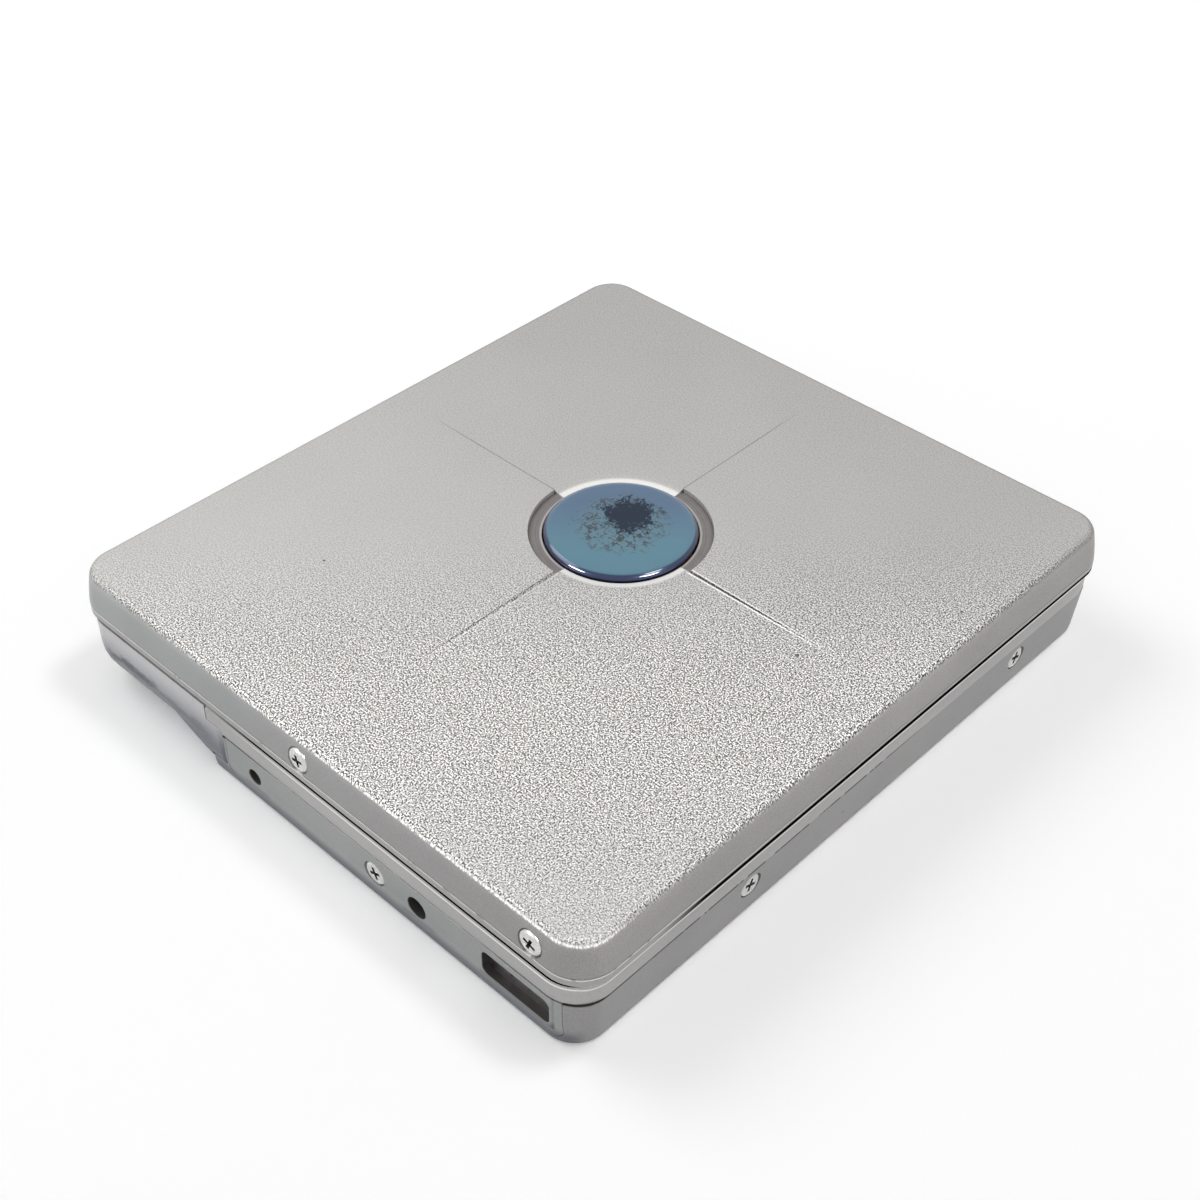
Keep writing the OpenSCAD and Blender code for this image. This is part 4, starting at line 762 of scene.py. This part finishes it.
def model_screw():
    shape = bmesh.new()
    recess = shape.faces.layers.float.new("recess")
    shank_end = loop_of(shape, SHANK_R, -SHANK_L)
    shank_top = loop_of(shape, SHANK_R, 0.0)
    head = [loop_of(shape, radius, z) for radius, z in HEAD_PROFILE]
    shape.faces.new(shank_end)
    for lower, upper in zip([shank_end, shank_top] + head, [shank_top] + head):
        walls(shape, lower, upper)
    mouth = cross_outline(shape, CROSS_HALF, CROSS_ARM, 1.0)
    floor = cross_outline(shape, CROSS_HALF * 0.8, CROSS_ARM * 0.8, 1.0 - CROSS_DEEP)
    dark = walls(shape, mouth, floor) + [shape.faces.new(floor)]
    top_edges = ring_edges(shape, head[-1]) + ring_edges(shape, mouth)
    bmesh.ops.triangle_fill(shape, use_beauty=True, edges=top_edges)
    bmesh.ops.recalc_face_normals(shape, faces=shape.faces)
    for face in shape.faces:
        face.smooth = True
    for face in dark:
        face[recess] = 1.0
    for edge in shape.edges:
        edge.smooth = edge.calc_face_angle(0.0) < math.radians(35)
    mesh = bpy.data.meshes.new("one_screw")
    shape.to_mesh(mesh)
    shape.free()
    screw = bpy.data.objects.new("one_screw", mesh)
    bpy.context.scene.collection.objects.link(screw)
    return screw


one_screw = model_screw()
print("one screw:", len(one_screw.data.polygons), "faces")

# %% A tree that sets the screw on every seat
TURN_SEED, TURN_MOST = 7, math.radians(24)


def screw_tree():
    tree = bpy.data.node_groups.new("set_screws", "GeometryNodeTree")
    face = tree.interface
    sockets = {"Seats": face.new_socket("Seats", in_out="INPUT", socket_type="NodeSocketGeometry")}
    kinds = {"Screw": "Object", "Head Height": "Float", "Most Turn": "Float", "Steel": "Material"}
    for name, kind in kinds.items():
        sockets[name] = face.new_socket(name, in_out="INPUT", socket_type="NodeSocket" + kind)
    face.new_socket("Screws", in_out="OUTPUT", socket_type="NodeSocketGeometry")

    def node(kind, settings=(), values=()):
        made = tree.nodes.new(kind)
        for key, value in dict(settings).items():
            setattr(made, key, value)
        for key, value in dict(values).items():
            if isinstance(value, bpy.types.NodeSocket):
                tree.links.new(value, made.inputs[key])
            else:
                made.inputs[key].default_value = value
        return made

    given = node("NodeGroupInput").outputs
    outward = node("GeometryNodeInputNamedAttribute", {"data_type": "FLOAT_VECTOR"}, {"Name": "outward"})
    wide = node("GeometryNodeInputNamedAttribute", {"data_type": "FLOAT"}, {"Name": "head_width"})
    facing = node(
        "FunctionNodeAlignRotationToVector", {"axis": "Z"}, {"Vector": outward.outputs["Attribute"]})
    least = node("ShaderNodeMath", {"operation": "MULTIPLY"}, {0: given["Most Turn"], 1: -1.0})
    chance = node("FunctionNodeRandomValue", {"data_type": "FLOAT"}, {"Seed": TURN_SEED})
    low, high = [s for s in chance.inputs if s.name in ("Min", "Max") and s.enabled]
    tree.links.new(least.outputs[0], low)
    tree.links.new(given["Most Turn"], high)
    angle = next(s for s in chance.outputs if s.enabled)
    spin = node("FunctionNodeAxisAngleToRotation", {}, {"Axis": (0, 0, 1), "Angle": angle})
    turned = node("FunctionNodeRotateRotation", {"rotation_space": "LOCAL"}, {
        "Rotation": facing.outputs[0], "Rotate By": spin.outputs[0]})
    size = node("ShaderNodeCombineXYZ", {}, {
        "X": wide.outputs["Attribute"], "Y": wide.outputs["Attribute"], "Z": given["Head Height"]})
    screw = node("GeometryNodeObjectInfo", {}, {"Object": given["Screw"]})
    placed = node("GeometryNodeInstanceOnPoints", {}, {
        "Points": given["Seats"], "Instance": screw.outputs["Geometry"],
        "Rotation": turned.outputs[0], "Scale": size.outputs[0]})
    solid = node("GeometryNodeRealizeInstances", {}, {"Geometry": placed.outputs[0]})
    steel = node("GeometryNodeSetMaterial", {}, {
        "Geometry": solid.outputs[0], "Material": given["Steel"]})
    node("NodeGroupOutput", {}, {"Screws": steel.outputs[0]})
    return tree, {name: socket.identifier for name, socket in sockets.items()}


set_screws, socket_of = screw_tree()
print("tree inputs:", list(socket_of))

# %% Seats, read from the solids
def loose_boxes(name):
    """The box of each separate solid in a node."""
    shape = bmesh.new()
    shape.from_mesh(nodes[name].data)
    bmesh.ops.remove_doubles(shape, verts=shape.verts, dist=MERGE)
    boxes, waiting = [], set(shape.verts)
    while waiting:
        reached, edge_of_reach = set(), [waiting.pop()]
        while edge_of_reach:
            vert = edge_of_reach.pop()
            reached.add(vert)
            for edge in vert.link_edges:
                other = edge.other_vert(vert)
                if other in waiting:
                    waiting.remove(other)
                    edge_of_reach.append(other)
        boxes.append([[pick(v.co[k] for v in reached) for k in range(3)] for pick in (min, max)])
    shape.free()
    return boxes


def seats_of(name, axis, head_height):
    """The seat under each head, its outward direction and the head's width."""
    found = []
    for low, high in sorted(loose_boxes(name)):
        middle = Vector([(a + b) / 2 for a, b in zip(low, high)])
        side = 1 if axis == 2 or middle[axis] > 0 else -1
        outward = Vector([side if k == axis else 0 for k in range(3)])
        middle[axis] = (high if side > 0 else low)[axis] - side * head_height
        found.append((middle, outward, high[(axis + 1) % 3] - low[(axis + 1) % 3]))
    return found


def screw_set(title, kinds, head_height):
    seats = [seat for name, axis in kinds for seat in seats_of(name, axis, head_height)]
    points = bpy.data.meshes.new(title)
    points.from_pydata([tuple(place) for place, _, _ in seats], [], [])
    points.attributes.new("outward", "FLOAT_VECTOR", "POINT")
    points.attributes.new("head_width", "FLOAT", "POINT")
    for i, (_, outward, width) in enumerate(seats):
        points.attributes["outward"].data[i].vector = outward
        points.attributes["head_width"].data[i].value = width
    piece = bpy.data.objects.new(title, points)
    bpy.context.scene.collection.objects.link(piece)
    setter = piece.modifiers.new("set_screws", "NODES")
    setter.node_group = set_screws
    for key, value in {"Screw": one_screw, "Head Height": head_height, "Most Turn": TURN_MOST,
                       "Steel": bright_screw_steel}.items():
        setter[socket_of[key]] = value
    plain = bpy.data.meshes.new_from_object(piece.evaluated_get(bpy.context.evaluated_depsgraph_get()))
    piece.modifiers.clear()
    piece.data = plain
    dress(piece, *[name for name, _ in kinds])
    print(title, "holds", len(seats), "screws,", len(plain.polygons), "faces")


PAN_HEAD, FLUSH_HEAD = 0.55 * MM, 0.38 * MM
screw_set("lid_screw_set", [("lid_screws", 1)], PAN_HEAD)
screw_set("base_screw_set", [("case_screws", 0), ("panel_screw", 1), ("chassis_screws", 2)], FLUSH_HEAD)
bpy.data.objects.remove(one_screw)
